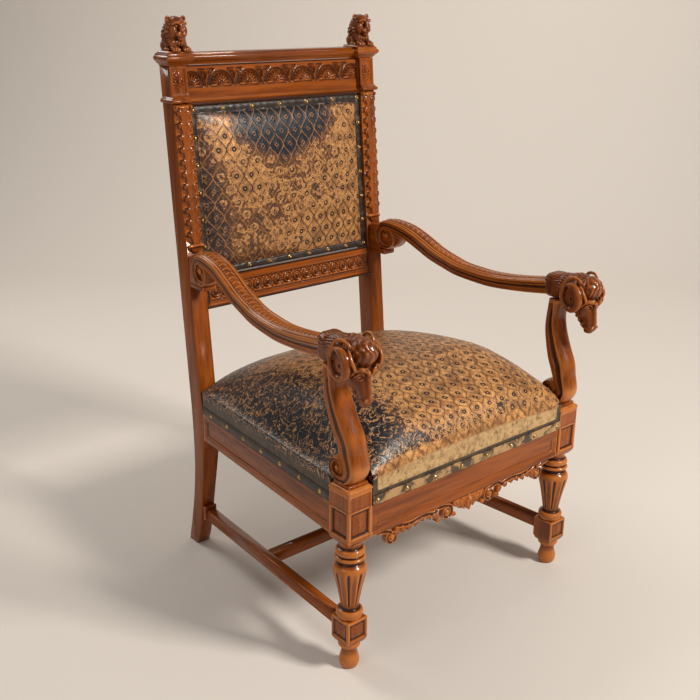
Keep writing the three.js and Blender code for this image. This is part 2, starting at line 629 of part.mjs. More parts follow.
function halfApron() {
  const endScroll = spiral([218, 265], [[70, 15, 6], [20, 15, 6], [-30, 14.5, 6], [-80, 14, 6],
    [-130, 13, 5.5], [-180, 12, 5.5], [-230, 10.5, 5], [-280, 8.5, 4.5], [-330, 6.5, 4]]);
  const midScroll = spiral([64, 266], [[100, 17, 7], [150, 16, 6.5], [200, 15.5, 6.5],
    [250, 15, 6.5], [300, 14, 6], [350, 12.5, 6], [400, 10.5, 5], [450, 8.5, 4.5], [500, 6.5, 4]]);
  return union(
    tendril([[252, 288, 9], [238, 284, 7], ...endScroll], 8),
    tendril([[206, 284, 7], [190, 281, 6], [166, 276, 5], [140, 280, 6], [118, 280, 7],
      [98, 276, 6], [84, 283, 7], ...midScroll], 12),
    apronLeaf(196, 279, 262, 24, 12),
    apronLeaf(180, 276, 255, 20, 11),
    apronLeaf(158, 275, 250, 15, 9),
    apronLeaf(96, 274, 262, 22, 12),
    apronLeaf(40, 280, 250, 30, 13),
    apronLeaf(21, 280, 262, 36, 14),
    facePlate([[0, 283], [258, 283], [258, RAIL_BOTTOM], [0, RAIL_BOTTOM]], FRONT_RAIL_Y + 3,
      FRONT_RAIL_Y + 16));
}

function apron() {
  const right = halfApron();
  const middle = apronLeaf(0, 284, 270, 40, 16);
  const button = boss(0, 272, FRONT_RAIL_Y + 3, 8, 4, 6);
  const above = block(-300, 300, -400, 0, RAIL_BOTTOM - GAP, 400);
  return cut(union(right, mirrored(right), middle, button), above);
}

// ---- upholstery --------------------------------------------------------------------------
const SEAT_NOTCH_Y = LEG_Y + POST_HALF + 1.6; // the cushion is cut back round the front posts

// Half width of the cushion at y: narrow between the front posts, tapered behind them.
function seatHalf(y) {
  return y <= SEAT_NOTCH_Y ? LEG_X - POST_HALF - 2 : sideX(y);
}

// Height of the domed top at (u, v), each -1 to 1 across and along the seat.
function seatTop(u, v) {
  const t = v < SEAT_PEAK ? (SEAT_PEAK - v) / (SEAT_PEAK + 1) : (v - SEAT_PEAK) / (1 - SEAT_PEAK);
  const across = Math.max(1 - Math.abs(u) ** 5.1, 0) ** 1.48;
  const along = Math.max(1 - t ** 1.67, 0) ** 0.55;
  return SEAT_EDGE_Z + SEAT_CROWN * across * along;
}

function seatCushion() {
  const base = RAIL_TOP + GAP;
  const end = 270;
  const notch = SEAT_NOTCH_Y;
  const cuts = [SEAT_FRONT_Y, -315, -290, notch, notch + 0.5, -220, -140, -40, 70, 160, 215,
    SEAT_BACK_Y];
  const columns = [-1, -0.93, -0.78, -0.45, 0, 0.45, 0.78, 0.93, 1];
  const rings = cuts.map((y) => {
    const v = (2 * (y - SEAT_FRONT_Y)) / (end - SEAT_FRONT_Y) - 1;
    const half = seatHalf(y);
    const reach = half / sideX(y);
    const ring = columns.map((u) => [u * half, y, seatTop(u * reach, v)]);
    return [...ring, [half, y, base], [-half, y, base]];
  });
  const tail = block(-STILE_INNER + 1, STILE_INNER - 1, SEAT_BACK_Y - 2, end, base, 424);
  const clear = SUPPORT_EYE[0] + 27.5;
  const dent = block(LEG_X - 27, 400, -400, clear, CAP_TOP - 1, 600);
  return cut(union(loft(rings), tail), dent, mirrored(dent));
}

function seatTrimFront() {
  const half = LEG_X - POST_HALF - 1;
  const [z0, z1] = [RAIL_TOP + GAP, RAIL_TOP + STRIP_HEIGHT];
  const front = SEAT_FRONT_Y - GAP - STRIP_THICK;
  const nails = [];
  for (let i = 0; i < 8; i++) {
    nails.push(nail((i - 3.5) * 76, (z0 + z1) / 2, front));
  }
  return union(block(-half, half, front, front + STRIP_THICK, z0, z1), nails);
}

function seatTrimSide() {
  const [y0, y1] = [SIDE_Y[0] + 1, SIDE_Y[1] - 3];
  const [z0, z1] = [RAIL_TOP + GAP, RAIL_TOP + STRIP_HEIGHT];
  const strip = sideBar(-STRIP_THICK - GAP, STRIP_THICK, y0, y1, z0, z1);
  const nails = [];
  for (let i = 0; i < 7; i++) {
    const y = y0 + 34 + i * 73;
    const face = sideX(y) + STRIP_THICK + GAP;
    const head = nail(0, 0, 0);
    const turn = new THREE.Matrix4().makeRotationZ(Math.PI / 2);
    nails.push(moved(head, turn.setPosition(face, y, (z0 + z1) / 2)));
  }
  return union(strip, nails);
}

// ---- stretchers --------------------------------------------------------------------------
const REAR_X = (STILE_OUTER + FOOT_INNER) / 2;
const COLLAR_Y = [254, 267.2];

function sideStretcher() {
  const [y0, y1] = [LEG_Y + BLOCK_HALF + GAP, COLLAR_Y[0] - GAP];
  const x0 = LEG_X - 1;
  const x1 = REAR_X + 2;
  const h = STRETCHER_HALF;
  const [z0, z1] = STRETCHER;
  return loft([[z0, 0], [z1 - 3, 0], [z1, 3]].map(([z, inset]) => [[x0 - h + inset, y0, z],
    [x0 + h - inset, y0, z], [x1 + h - inset, y1, z], [x1 - h + inset, y1, z]]));
}

function stretcherCollar() {
  const [z0, z1] = [STRETCHER[0] - 4, STRETCHER[1] + 6];
  return block(REAR_X - 15, REAR_X + 16, COLLAR_Y[0], COLLAR_Y[1], z0, z1);
}

function crossStretcher() {
  const y = [LEG_Y + BLOCK_HALF, COLLAR_Y[0]];
  const t = (CROSS_Y - y[0]) / (y[1] - y[0]);
  const meet = LEG_X - 1 + (REAR_X + 3 - LEG_X) * t - STRETCHER_HALF - GAP;
  const spread = (STRETCHER_HALF * (LEG_X - REAR_X - 3)) / (y[1] - y[0]);
  const [z0, z1] = STRETCHER;
  const h = STRETCHER_HALF;
  return loft([[z0, 0], [z1 - 3, 0], [z1, 3]].map(([z, inset]) => [
    [-meet - spread, CROSS_Y - h + inset, z], [meet + spread, CROSS_Y - h + inset, z],
    [meet - spread, CROSS_Y + h - inset, z], [-meet + spread, CROSS_Y + h - inset, z]]));
}

// ---- materials and the model -------------------------------------------------------------
const finish = (color, roughness, metalness = 0) => new THREE.MeshStandardMaterial({ color,
  roughness, metalness });
const walnut = () => finish(0x8a4520, 0.35);
const carvedWalnut = () => finish(0x7d3c1b, 0.38);
const shadedWalnut = () => finish(0x5c2c15, 0.4);
const darkWood = () => finish(0x2a150c, 0.5);
const gildedLeather = () => finish(0x8f6a3c, 0.42);
const edgeLeather = () => finish(0x34343a, 0.4);

const chair = new THREE.Group();
const back = new THREE.Group();
back.position.set(0, RAKE_BASE_Y, RAKE_BASE_Z);
back.rotation.x = -RAKE;
chair.add(back);

function piece(parent, name, solid, material) {
  const mesh = new THREE.Mesh(toGeometry(solid), material);
  mesh.name = name;
  parent.add(mesh);
}

function pair(parent, name, right, material) {
  piece(parent, `${name}_right`, right, material);
  piece(parent, `${name}_left`, mirrored(right), material.clone());
}

pair(chair, 'front_leg', shifted(frontLeg(), LEG_X, LEG_Y, 0), walnut());
pair(chair, 'rear_stile', rearStile(), walnut());
pair(chair, 'arm', arm(), carvedWalnut());
pair(chair, 'arm_support', armSupport(), walnut());
pair(chair, 'lion', lion(), carvedWalnut());
pair(chair, 'side_rail', sideRail(), walnut());
pair(chair, 'side_stretcher', sideStretcher(), shadedWalnut());
pair(chair, 'stretcher_collar', stretcherCollar(), darkWood());
pair(chair, 'seat_trim', seatTrimSide(), edgeLeather());
piece(chair, 'seat_trim_front', seatTrimFront(), edgeLeather());
piece(chair, 'seat_cushion', seatCushion(), gildedLeather());
piece(chair, 'front_rail', frontRail(), walnut());
piece(chair, 'back_seat_rail', backSeatRail(), shadedWalnut());
piece(chair, 'apron', apron(), carvedWalnut());
piece(chair, 'cross_stretcher', crossStretcher(), shadedWalnut());
piece(chair, 'cornice', cornice(), walnut());
pair(back, 'pilaster', pilaster(), carvedWalnut());
piece(back, 'frieze', frieze(), carvedWalnut());
piece(back, 'lower_back_rail', lowerBackRail(), carvedWalnut());
piece(back, 'back_pad', backPad(), gildedLeather());
piece(back, 'back_trim', backTrim(), edgeLeather());

// The origin is the middle of the chair's footprint, on the floor.
chair.updateMatrixWorld(true);
const middle = new THREE.Box3().setFromObject(chair, true).getCenter(new THREE.Vector3());
chair.position.y = -middle.y;

export default chair;
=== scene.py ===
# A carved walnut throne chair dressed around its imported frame: walnut with grain and polish,
# carving in relief, rams' heads and lions as sculpted meshes, and worn gilt embossed leather.
# Lengths are in the drawing's millimetres; to_row turns them into the frame's metres.
import bpy
import math
import numpy as np
from mathutils import Matrix, Vector


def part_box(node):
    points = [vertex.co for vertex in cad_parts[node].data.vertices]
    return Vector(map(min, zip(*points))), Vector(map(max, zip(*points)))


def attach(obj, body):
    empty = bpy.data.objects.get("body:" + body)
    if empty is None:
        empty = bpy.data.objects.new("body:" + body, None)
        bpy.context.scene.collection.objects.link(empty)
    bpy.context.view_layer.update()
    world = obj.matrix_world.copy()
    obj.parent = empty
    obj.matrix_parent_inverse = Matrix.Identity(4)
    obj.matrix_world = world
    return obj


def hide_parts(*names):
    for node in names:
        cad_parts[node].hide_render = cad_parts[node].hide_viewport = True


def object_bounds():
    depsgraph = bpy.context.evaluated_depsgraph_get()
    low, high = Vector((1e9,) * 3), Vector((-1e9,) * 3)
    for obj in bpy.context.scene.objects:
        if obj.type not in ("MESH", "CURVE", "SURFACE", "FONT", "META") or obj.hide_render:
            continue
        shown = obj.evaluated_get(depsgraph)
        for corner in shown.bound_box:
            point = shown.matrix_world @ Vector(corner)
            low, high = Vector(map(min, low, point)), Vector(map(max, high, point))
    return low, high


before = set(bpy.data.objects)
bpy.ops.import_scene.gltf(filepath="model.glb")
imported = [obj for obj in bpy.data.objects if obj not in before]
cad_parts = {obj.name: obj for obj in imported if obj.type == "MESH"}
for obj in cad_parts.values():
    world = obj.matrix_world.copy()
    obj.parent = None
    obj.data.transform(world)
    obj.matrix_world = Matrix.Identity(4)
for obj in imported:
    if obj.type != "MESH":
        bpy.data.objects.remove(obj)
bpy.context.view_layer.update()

# ---- the chair's own measures, in millimetres --------------------------------------------
# The chair is drawn with x across, y from front to back and z up. LEG_Y ties that drawing to
# the frame: the axis of a front leg lies there.
MM = 0.001
LEG_X, LEG_Y = 308.0, -298.0
LEG_LOW, LEG_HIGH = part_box("front_leg_right")
SHIFT_Y = (LEG_LOW.y + LEG_HIGH.y) / 2 - LEG_Y * MM

RAKE_BASE_Y, RAKE_BASE_Z, RAKE_SLOPE = 255.0, 409.0, 0.09075
RAKE = math.atan(RAKE_SLOPE)
STILE_OUTER, STILE_INNER = 284.0, 241.5
BETWEEN_STILES = STILE_INNER - 0.3
BACK_TOP = 1118.6
FRIEZE_LOW = 1042.0
PAD_LOW, PAD_HIGH, TRIM_WIDE = 665.0, 1034.0, 15.0
PAD_BACK, FRIEZE_BACK, LOWER_RAIL_BACK = 26.9, 34.0, 27.0  # behind the front of the stiles
PILASTER_BACK = -0.2
PILASTER_LOW, PILASTER_HIGH = 743.0, 1030.0
LOWER_RAIL_LOW, LOWER_RAIL_HIGH = 592.0, 664.0
RAIL_BOTTOM, RAIL_TOP = 290.0, 356.2
POST_HALF = 29.3

SEAT_FRONT_Y, SEAT_REAR_Y, SEAT_END_Y = -326.2, 246.0, 270.0
SEAT_EDGE_Z, SEAT_CROWN, SEAT_PEAK = 412.0, 128.0, -0.35
SEAT_BASE_Z = 356.5
NOTCH_Y = LEG_Y + POST_HALF + 1.6
LATTICE_PITCH = 38.1  # width of one cell of the embossed leather
LATTICE_ROW = 29.3  # height from one row of cells to the next


def smooth_step(low, high, x):
    t = np.clip((x - low) / (high - low), 0, 1)
    return t * t * (3 - 2 * t)


def rake_y(z):
    return RAKE_BASE_Y + (z - RAKE_BASE_Z) * RAKE_SLOPE


def lean(z):
    """Height along the raked back of a point at height z."""
    return (z - RAKE_BASE_Z) / math.cos(RAKE)


# ---- meshes ------------------------------------------------------------------------------
def to_row(points):
    """Drawing millimetres to the frame's metres."""
    row = np.array(points, float) * MM
    row[..., 1] += SHIFT_Y
    return row


def make_mesh(name, points, quads, tris=()):
    """An object from drawing points and index rows of four and of three."""
    quads = np.asarray(quads, np.int32).reshape(-1, 4)
    tris = np.asarray(tris, np.int32).reshape(-1, 3)
    mesh = bpy.data.meshes.new(name)
    row = to_row(points).reshape(-1, 3)
    mesh.vertices.add(len(row))
    mesh.vertices.foreach_set("co", row.astype(np.float32).ravel())
    mesh.loops.add(quads.size + tris.size)
    mesh.loops.foreach_set("vertex_index", np.concatenate([quads.ravel(), tris.ravel()]))
    sizes = np.concatenate([np.full(len(quads), 4), np.full(len(tris), 3)]).astype(np.int32)
    starts = np.concatenate([[0], np.cumsum(sizes)[:-1]]).astype(np.int32)
    mesh.polygons.add(len(sizes))
    mesh.polygons.foreach_set("loop_start", starts)
    mesh.polygons.foreach_set("use_smooth", np.ones(len(sizes), bool))
    mesh.update(calc_edges=True)
    mesh.validate()
    obj = bpy.data.objects.new(name, mesh)
    bpy.context.scene.collection.objects.link(obj)
    return obj


def grid_quads(rows, columns, wrap=False):
    """Faces of a grid of points; `wrap` closes each row on itself."""
    r, c = np.meshgrid(np.arange(rows - 1), np.arange(columns if wrap else columns - 1),
                       indexing="ij")
    d = (c + 1) % columns
    quads = np.stack([r * columns + c, r * columns + d, (r + 1) * columns + d,
                      (r + 1) * columns + c], -1)
    return quads.reshape(-1, 4)


def fan(ring, centre, flip=False):
    """Triangles from one ring of indices to a centre index."""
    ring = np.asarray(ring)
    following = np.roll(ring, -1)
    tris = np.stack([ring, following, np.full(len(ring), centre)], -1)
    return tris[:, ::-1] if flip else tris


def set_attributes(obj, **values):
    """Stores values at a mesh's points; points past the end of a list get 0."""
    for name, value in values.items():
        padded = np.zeros(len(obj.data.vertices), np.float32)
        padded[:value.size] = value.ravel()
        obj.data.attributes.new(name, "FLOAT", "POINT").data.foreach_set("value", padded)


def points_of(obj):
    """A mesh's points in drawing millimetres."""
    places = np.empty(len(obj.data.vertices) * 3, np.float32)
    obj.data.vertices.foreach_get("co", places)
    places = places.reshape(-1, 3).astype(float)
    places[:, 1] -= SHIFT_Y
    return places / MM


PLAIN_EDGE = 14.0  # edges longer than this belong to plain faces


def add_hollows(obj, steps, scale):
    """Stores at each point how far it lies below its surroundings, from -1 on a crest to 1 in a
    groove, so that the finish can paint shade into the carving and a highlight on its edges."""
    mesh = obj.data
    places = points_of(obj)
    normals = np.empty(len(places) * 3, np.float32)
    mesh.vertices.foreach_get("normal", normals)
    edges = np.empty(len(mesh.edges) * 2, np.int32)
    mesh.edges.foreach_get("vertices", edges)
    a, b = edges.reshape(-1, 2).T
    share = np.maximum(np.bincount(a, minlength=len(places))
                       + np.bincount(b, minlength=len(places)), 1)

    def soften(values):
        total = np.bincount(a, values[b], len(places)) + np.bincount(b, values[a], len(places))
        return 0.5 * values + 0.5 * total / share

    calm = places.copy()
    for _ in range(steps):
        calm = np.stack([soften(calm[:, k]) for k in range(3)], -1)
    depth = np.einsum("ij,ij->i", calm - places, normals.reshape(-1, 3))
    for _ in range(2):
        depth = soften(depth)
    # A plain face has neither crest nor groove.
    longest = np.zeros(len(places))
    length = np.linalg.norm(places[a] - places[b], axis=1)
    np.maximum.at(longest, a, length)
    np.maximum.at(longest, b, length)
    depth[longest > PLAIN_EDGE] = 0
    set_attributes(obj, hollow=np.clip(depth / scale, -1, 1))


# ---- materials ---------------------------------------------------------------------------
class Nodes:
    """Builds one material's node tree."""

    def __init__(self, name):
        self.material = bpy.data.materials.new(name)
        self.material.use_nodes = True
        self.tree = self.material.node_tree
        self.shader = self.tree.nodes["Principled BSDF"]

    def add(self, kind, **settings):
        node = self.tree.nodes.new(kind)
        for key, value in settings.items():
            setattr(node, key, value)
        return node

    def plug(self, source, socket):
        if isinstance(source, bpy.types.NodeSocket):
            self.tree.links.new(source, socket)
        else:
            socket.default_value = source

    def math(self, operation, *values):
        node = self.add("ShaderNodeMath", operation=operation)
        for socket, value in zip(node.inputs, values):
            self.plug(value, socket)
        return node.outputs[0]

    def product(self, first, *others):
        for other in others:
            first = self.math("MULTIPLY", first, other)
        return first

    def total(self, first, *others):
        for other in others:
            first = self.math("ADD", first, other)
        return first

    def span(self, value, low, high, to_low=0.0, to_high=1.0):
        node = self.add("ShaderNodeMapRange", interpolation_type="SMOOTHSTEP")
        for socket, item in zip(node.inputs, (value, low, high, to_low, to_high)):
            self.plug(item, socket)
        return node.outputs[0]

    def near(self, value, middle, width):
        """1 where a value is at `middle`, falling to 0 at `width` from it."""
        gap = self.math("ABSOLUTE", self.math("SUBTRACT", value, middle))
        return self.span(gap, width * 0.45, width, 1.0, 0.0)

    def blend(self, factor, a, b):
        """The colour `a` where the factor is 0 and `b` where it is 1."""
        node = self.add("ShaderNodeMix", data_type="RGBA")
        for number, item in ((0, factor), (6, a), (7, b)):
            self.plug(item, node.inputs[number])
        return node.outputs[2]

    def noise(self, stretch, offset=(0, 0, 0), detail=3.0, roughness=0.55, distortion=0.0):
        """Noise at the point in the frame, with so many waves a metre along each axis."""
        coordinates = self.add("ShaderNodeTexCoord")
        mapping = self.add("ShaderNodeMapping")
        self.plug(coordinates.outputs["Object"], mapping.inputs["Vector"])
        mapping.inputs["Scale"].default_value = np.ones(3) * stretch
        mapping.inputs["Location"].default_value = offset
        node = self.add("ShaderNodeTexNoise")
        self.plug(mapping.outputs["Vector"], node.inputs["Vector"])
        for key, value in (("Scale", 1.0), ("Detail", detail), ("Roughness", roughness),
                           ("Distortion", distortion)):
            node.inputs[key].default_value = value
        return node.outputs["Fac"]

    def attribute(self, name):
        return self.add("ShaderNodeAttribute", attribute_name=name).outputs["Fac"]

    def bump(self, height, strength, distance):
        node = self.add("ShaderNodeBump")
        node.inputs["Strength"].default_value = strength
        node.inputs["Distance"].default_value = distance
        self.plug(height, node.inputs["Height"])
        self.plug(node.outputs["Normal"], self.shader.inputs["Normal"])

    def set(self, **values):
        for key, value in values.items():
            self.plug(value, self.shader.inputs[key.replace("_", " ")])


WALNUT_LIGHT, WALNUT_DARK = (0.38, 0.090, 0.006, 1), (0.120, 0.023, 0.0015, 1)
WALNUT_PORE, WALNUT_GROOVE_PAINTED_SHADE = (0.06, 0.013, 0.002, 1), (0.022, 0.0045, 0.001, 1)
WALNUT_CREST_PAINTED_HIGHLIGHT, WALNUT_LOCK_PAINTED_SHADE = (0.74, 0.25, 0.050, 1), (0.05, 0.013, 0.004, 1)


def walnut(name, axis, light=WALNUT_LIGHT, dark=WALNUT_DARK, seed=0.0, hollow=True, rough=0.34,
           hair=False):
    """Polished walnut with its grain along one axis. `hollow` paints shade into the carving and a
    highlight on its edges, and `hair` cuts fine locks with painted shade in their grooves."""
    n = Nodes(name)
    stretch = np.array([0.06 if letter == axis else 1.0 for letter in "xyz"])
    streaks = n.noise(stretch * 90, (seed, seed * 2, seed * 3), 6, 0.62, 0.6)
    bands = n.noise(stretch * 22, (seed * 5, seed, seed), 3, 0.5, 1.2)
    pores = n.noise(stretch * 900, (seed, 0, seed), 3, 0.7)
    tone = n.total(n.product(streaks, 0.55), n.product(bands, 0.45))
    colour = n.blend(n.span(tone, 0.30, 0.70), dark, light)
    colour = n.blend(n.span(pores, 0.60, 0.72, 0, 0.45), colour, WALNUT_PORE)
    if hollow:
        # Painted shade in the carving's grooves and a painted highlight on its crests, both from
        # how hollow each point lies.
        depth = n.attribute("hollow")
        colour = n.blend(n.span(depth, 0.06, 0.60, 0, 0.92), colour, WALNUT_GROOVE_PAINTED_SHADE)
        colour = n.blend(n.span(depth, -0.12, -0.8, 0, 0.52), colour, WALNUT_CREST_PAINTED_HIGHLIGHT)
    raised = n.total(n.product(streaks, 0.5), pores)
    if hair:
        lines, amount = n.math("SINE", n.attribute("hair_phase")), n.attribute("hair_amount")
        # Painted shade in the grooves between the locks.
        colour = n.blend(n.product(n.span(lines, -0.35, -0.95, 0, 0.55), amount), colour,
                         WALNUT_LOCK_PAINTED_SHADE)
        raised = n.total(raised, n.product(lines, amount, 3.0))
    n.bump(raised, *((0.30, 0.0006) if hair else (0.16, 0.0004)))
    shine = n.noise(14, (seed, seed, 0))
    n.set(Base_Color=colour, Roughness=n.span(shine, 0.3, 0.7, rough - 0.07, rough + 0.09))
    n.set(Coat_Weight=0.42, Coat_Roughness=0.06, Specular_IOR_Level=0.16)
    return n.material


def plain_leather(name, colour, worn, seed=0.0, worn_from=0.50):
    """Thin dark leather strip with creases and rubbed patches."""
    n = Nodes(name)
    patches = n.noise(34, (seed, seed, seed), 5, 0.6, 0.4)
    grain = n.noise(700, detail=3, roughness=0.6)
    tone = n.blend(n.span(patches, worn_from, worn_from + 0.16), colour, worn)
    n.set(Base_Color=tone, Roughness=n.span(patches, 0.3, 0.7, 0.30, 0.48))
    n.bump(n.total(grain, n.product(patches, 2.0)), 0.25, 0.0006)
    return n.material


def brass(name):
    n = Nodes(name)
    dull = n.noise(260)
    tone = n.blend(n.span(dull, 0.42, 0.68), (0.60, 0.39, 0.15, 1), (0.16, 0.085, 0.03, 1))
    n.set(Base_Color=tone, Metallic=1.0, Roughness=n.span(dull, 0.3, 0.7, 0.26, 0.46))
    n.bump(dull, 0.2, 0.0004)
    return n.material


LINE_GOLD, DEEP_GOLD = (0.76, 0.375, 0.130, 1), (0.38, 0.158, 0.050, 1)
OLD_GOLD, GROOVE_BLACK = (0.170, 0.072, 0.028, 1), (0.014, 0.011, 0.010, 1)
BRONZE, BLUE_BLACK = (0.120, 0.050, 0.022, 1), (0.011, 0.013, 0.020, 1)
DUST_BROWN = (0.050, 0.027, 0.014, 1)
BAND_PALE, BAND_TAN, BAND_STAIN = (0.60, 0.39, 0.18, 1), (0.34, 0.195, 0.08, 1), (
    0.05, 0.035, 0.022, 1)
BAND_BLACK, BAND_BROWN = (0.020, 0.013, 0.009, 1), (0.090, 0.052, 0.024, 1)


def cell_nodes(n, across, row, scales):
    """The pressed pattern in shader nodes: distance past the nearest cell's edge, and the place
    in that cell. `scales` picks the back's scale-shaped cells over the seat's hexagons."""
    found = None
    for shift in (0, 1):
        middle = n.math("FLOOR", n.total(n.product(row, 0.5), 0.5 - shift / 2))
        dy = n.math("SUBTRACT", row, n.math("MULTIPLY_ADD", middle, 2.0, float(shift)))
        dx = n.math("SUBTRACT", across, 0.5 * shift)
        dx = n.math("SUBTRACT", dx, n.math("FLOOR", n.total(dx, 0.5)))
        reach = n.math("ABSOLUTE", dy)
        if scales:
            wave = n.math("COSINE", n.product(n.math("MINIMUM", reach, 1.0), math.pi))
            waist = n.total(n.product(n.math("SUBTRACT", 1.0, reach), 0.1),
                            n.math("MULTIPLY_ADD", wave, 0.2, 0.2))
        else:
            waist = n.span(reach, 0.12, 0.92, 0.5, 0.0)
        item = (n.math("SUBTRACT", n.math("ABSOLUTE", dx), waist), dx, dy)
        if found is None:
            found = item
        else:
            nearer = n.math("LESS_THAN", item[0], found[0])
            found = tuple(n.math("MULTIPLY_ADD", n.math("SUBTRACT", b, a), nearer, a)
                          for a, b in zip(found, item))
    return found


def gilt_leather(name, scales, seed):
    """Gilded leather pressed with a pattern of cells, its gold rubbed away to blue-black."""
    n = Nodes(name)
    across, row = n.attribute("cell_u"), n.attribute("cell_v")
    gold, band = n.attribute("gold"), n.attribute("band")
    plain = n.math("SUBTRACT", 1.0, band)

    # The marks of the pattern, each 1 where it shows.
    wobble = n.noise(60, (seed, 0, 0), 2)
    across = n.total(across, n.math("MULTIPLY_ADD", wobble, 0.07, -0.035))
    edge, dx, dy = cell_nodes(n, across, row, scales)
    squat = n.product(dy, 0.76)
    radius = n.math("SQRT", n.total(n.product(dx, dx), n.product(squat, squat)))
    petals = n.math("COSINE", n.product(n.math("ARCTAN2", squat, dx), 4.0))
    rosette = n.near(n.math("SUBTRACT", radius, n.product(petals, 0.022)), 0.100, 0.040)
    line, inner = n.near(edge, 0.0, 0.052), n.near(edge, -0.105, 0.030)
    ring, halo = n.near(radius, 0.108, 0.074), n.near(radius, 0.235, 0.028)
    eye = n.span(radius, 0.018, 0.052, 1.0, 0.0)

    # Gold lasts longest on the crests inside each cell, and goes in ragged flakes.
    coarse = n.noise(26, (seed, seed, seed), 5, 0.62, 0.5)
    ragged = n.noise(95, (seed, seed, 2), 6, 0.68, 0.25)
    fleck = n.noise(420, (0, seed, 0), 4, 0.7)
    curls = n.noise(37, (seed, 3, seed), 4, 0.55, 2.0)
    wear = n.total(n.product(coarse, 0.50), n.product(ragged, 0.50),
                   n.math("MULTIPLY_ADD", fleck, 0.10, -0.05))
    crest = n.span(n.math("ABSOLUTE", n.math("SUBTRACT", radius, 0.19)), 0.03, 0.14, 0.055, -0.03)
    level = n.total(n.math("MULTIPLY_ADD", gold, 0.56, -0.255), wear, n.product(crest, plain))
    left = n.span(level, 0.475, 0.555)

    # Where the gilding is left.
    gold_tone = n.blend(n.span(ragged, 0.38, 0.62), DEEP_GOLD, LINE_GOLD)
    gold_tone = n.blend(n.span(coarse, 0.45, 0.66, 0, 0.66), gold_tone, OLD_GOLD)
    mark = n.math("MAXIMUM", n.product(line, 0.96), ring)
    for other, share in ((inner, 0.38), (halo, 0.42)):
        mark = n.math("MAXIMUM", mark, n.product(other, share))
    mark = n.product(mark, n.span(eye, 0, 1, 1, 0), plain, n.span(fleck, 0.26, 0.42, 0.5, 1.0))
    gilt = n.blend(mark, gold_tone, GROOVE_BLACK)
    gilt = n.blend(n.product(eye, 0.75, plain), gilt, LINE_GOLD)

    # Where it is gone: dark leather with traces of gold along the pattern and in curled chips.
    browned = (0.04, 0.30) if scales else (0.12, 0.55)
    warm = n.product(n.span(coarse, 0.34, 0.52, 0.45, 1.0), n.span(gold, *browned))
    dark_tone = n.blend(warm, BLUE_BLACK, BRONZE)
    dark_tone = n.blend(n.span(fleck, 0.52, 0.80, 0, 0.35), dark_tone, DUST_BROWN)
    trace = n.math("MAXIMUM", line, rosette) if scales else n.product(line, 0.35)
    trace = n.product(trace, n.span(ragged, 0.34, 0.52), plain, 0.85 if scales else 0.55)
    rubbed = n.blend(trace, dark_tone, DEEP_GOLD)
    thread = n.product(n.near(curls, 0.5, 0.014 if scales else 0.026),
                       n.span(gold, 0.02, 0.15, 0.0, 0.5 if scales else 1.0),
                       n.span(ragged, 0.34, 0.50))
    chips = n.math("MAXIMUM", n.near(level, 0.485, 0.024), thread)
    rubbed = n.blend(n.product(chips, n.span(gold, 0.02, 0.12), 0.85), rubbed, LINE_GOLD)

    # The plain band at the foot of the seat: pale in front, dark at the sides, and dark where
    # painted shade lies along the front's foot and beside the front posts.
    tan = n.blend(n.span(ragged, 0.40, 0.64), BAND_PALE, BAND_TAN)
    tan = n.blend(n.span(ragged, 0.60, 0.70, 0, 0.75), tan, BAND_STAIN)
    dark_band = n.blend(n.span(wear, 0.40, 0.60), BAND_BLACK, BAND_BROWN)
    tan = n.blend(n.span(gold, 0.62, 0.30), tan, dark_band)

    gloss = n.total(n.product(left, 0.09), n.product(fleck, 0.16), 0.25)
    n.set(Base_Color=n.blend(band, n.blend(left, rubbed, gilt), tan),
          Metallic=n.product(left, 0.22), Roughness=gloss, Specular_IOR_Level=0.34,
          Coat_Weight=0.12, Coat_Roughness=0.22)
    pressed = n.math("SUBTRACT", n.product(eye, 0.9), n.product(ring, 0.8))
    pressed = n.total(pressed, n.product(line, 1.0 if scales else -0.9), n.product(halo, -0.3))
    grain = n.noise(900, (0, 0, seed), 3, 0.6)
    n.bump(n.total(n.product(pressed, plain), n.product(grain, 0.30), n.product(ragged, 0.9)),
           0.62, 0.0011)
    return n.material


# ---- forms -------------------------------------------------------------------------------
def smooth_path(stops, per=16):
    """A smooth curve through the stops."""
    p = np.asarray(stops, float)
    p = np.concatenate([[2 * p[0] - p[1]], p, [2 * p[-1] - p[-2]]])
    out = []
    for a, b, c, d in zip(p[:-3], p[1:-2], p[2:-1], p[3:]):
        t = np.linspace(0, 1, per, endpoint=False)[:, None]
        out.append(0.5 * (2 * b + (c - a) * t + (2 * a - 5 * b + 4 * c - d) * t ** 2
                          + (3 * b - a - 3 * c + d) * t ** 3))
    return np.concatenate([*out, p[-2:-1]])


def spiral(eye, rows):
    """Stops of a spiral from rows of angle in degrees, outer radius and thickness."""
    degrees, outer, thick = np.asarray(rows, float).T
    r, angle = outer - thick / 2, np.radians(degrees)
    return np.stack([eye[0] + r * np.cos(angle), eye[1] + r * np.sin(angle), thick], -1)


def even_steps(path, step):
    """Points a step apart along a polyline."""
    path = np.asarray(path, float)
    run = length_along(path)
    wanted = np.linspace(0, run[-1], max(int(run[-1] / step), 2) + 1)
    return np.stack([np.interp(wanted, run, path[:, k]) for k in range(path.shape[1])], -1)


def circle(count):
    """So many angles, evenly round a circle."""
    return np.linspace(0, 2 * np.pi, count + 1)[:-1]


def round_rectangle(x0, x1, y0, y1, z, r, step=45, inset=0.0):
    """A level ring round a rectangle with rounded corners, `inset` within its outline."""
    ring = []
    for x, y, start in ((x1 - r, y1 - r, 0), (x0 + r, y1 - r, 90), (x0 + r, y0 + r, 180),
                        (x1 - r, y0 + r, 270)):
        for turn in range(start, start + 91, step):
            angle = math.radians(turn)
            ring.append((x + (r - inset) * math.cos(angle), y + (r - inset) * math.sin(angle), z))
    return ring


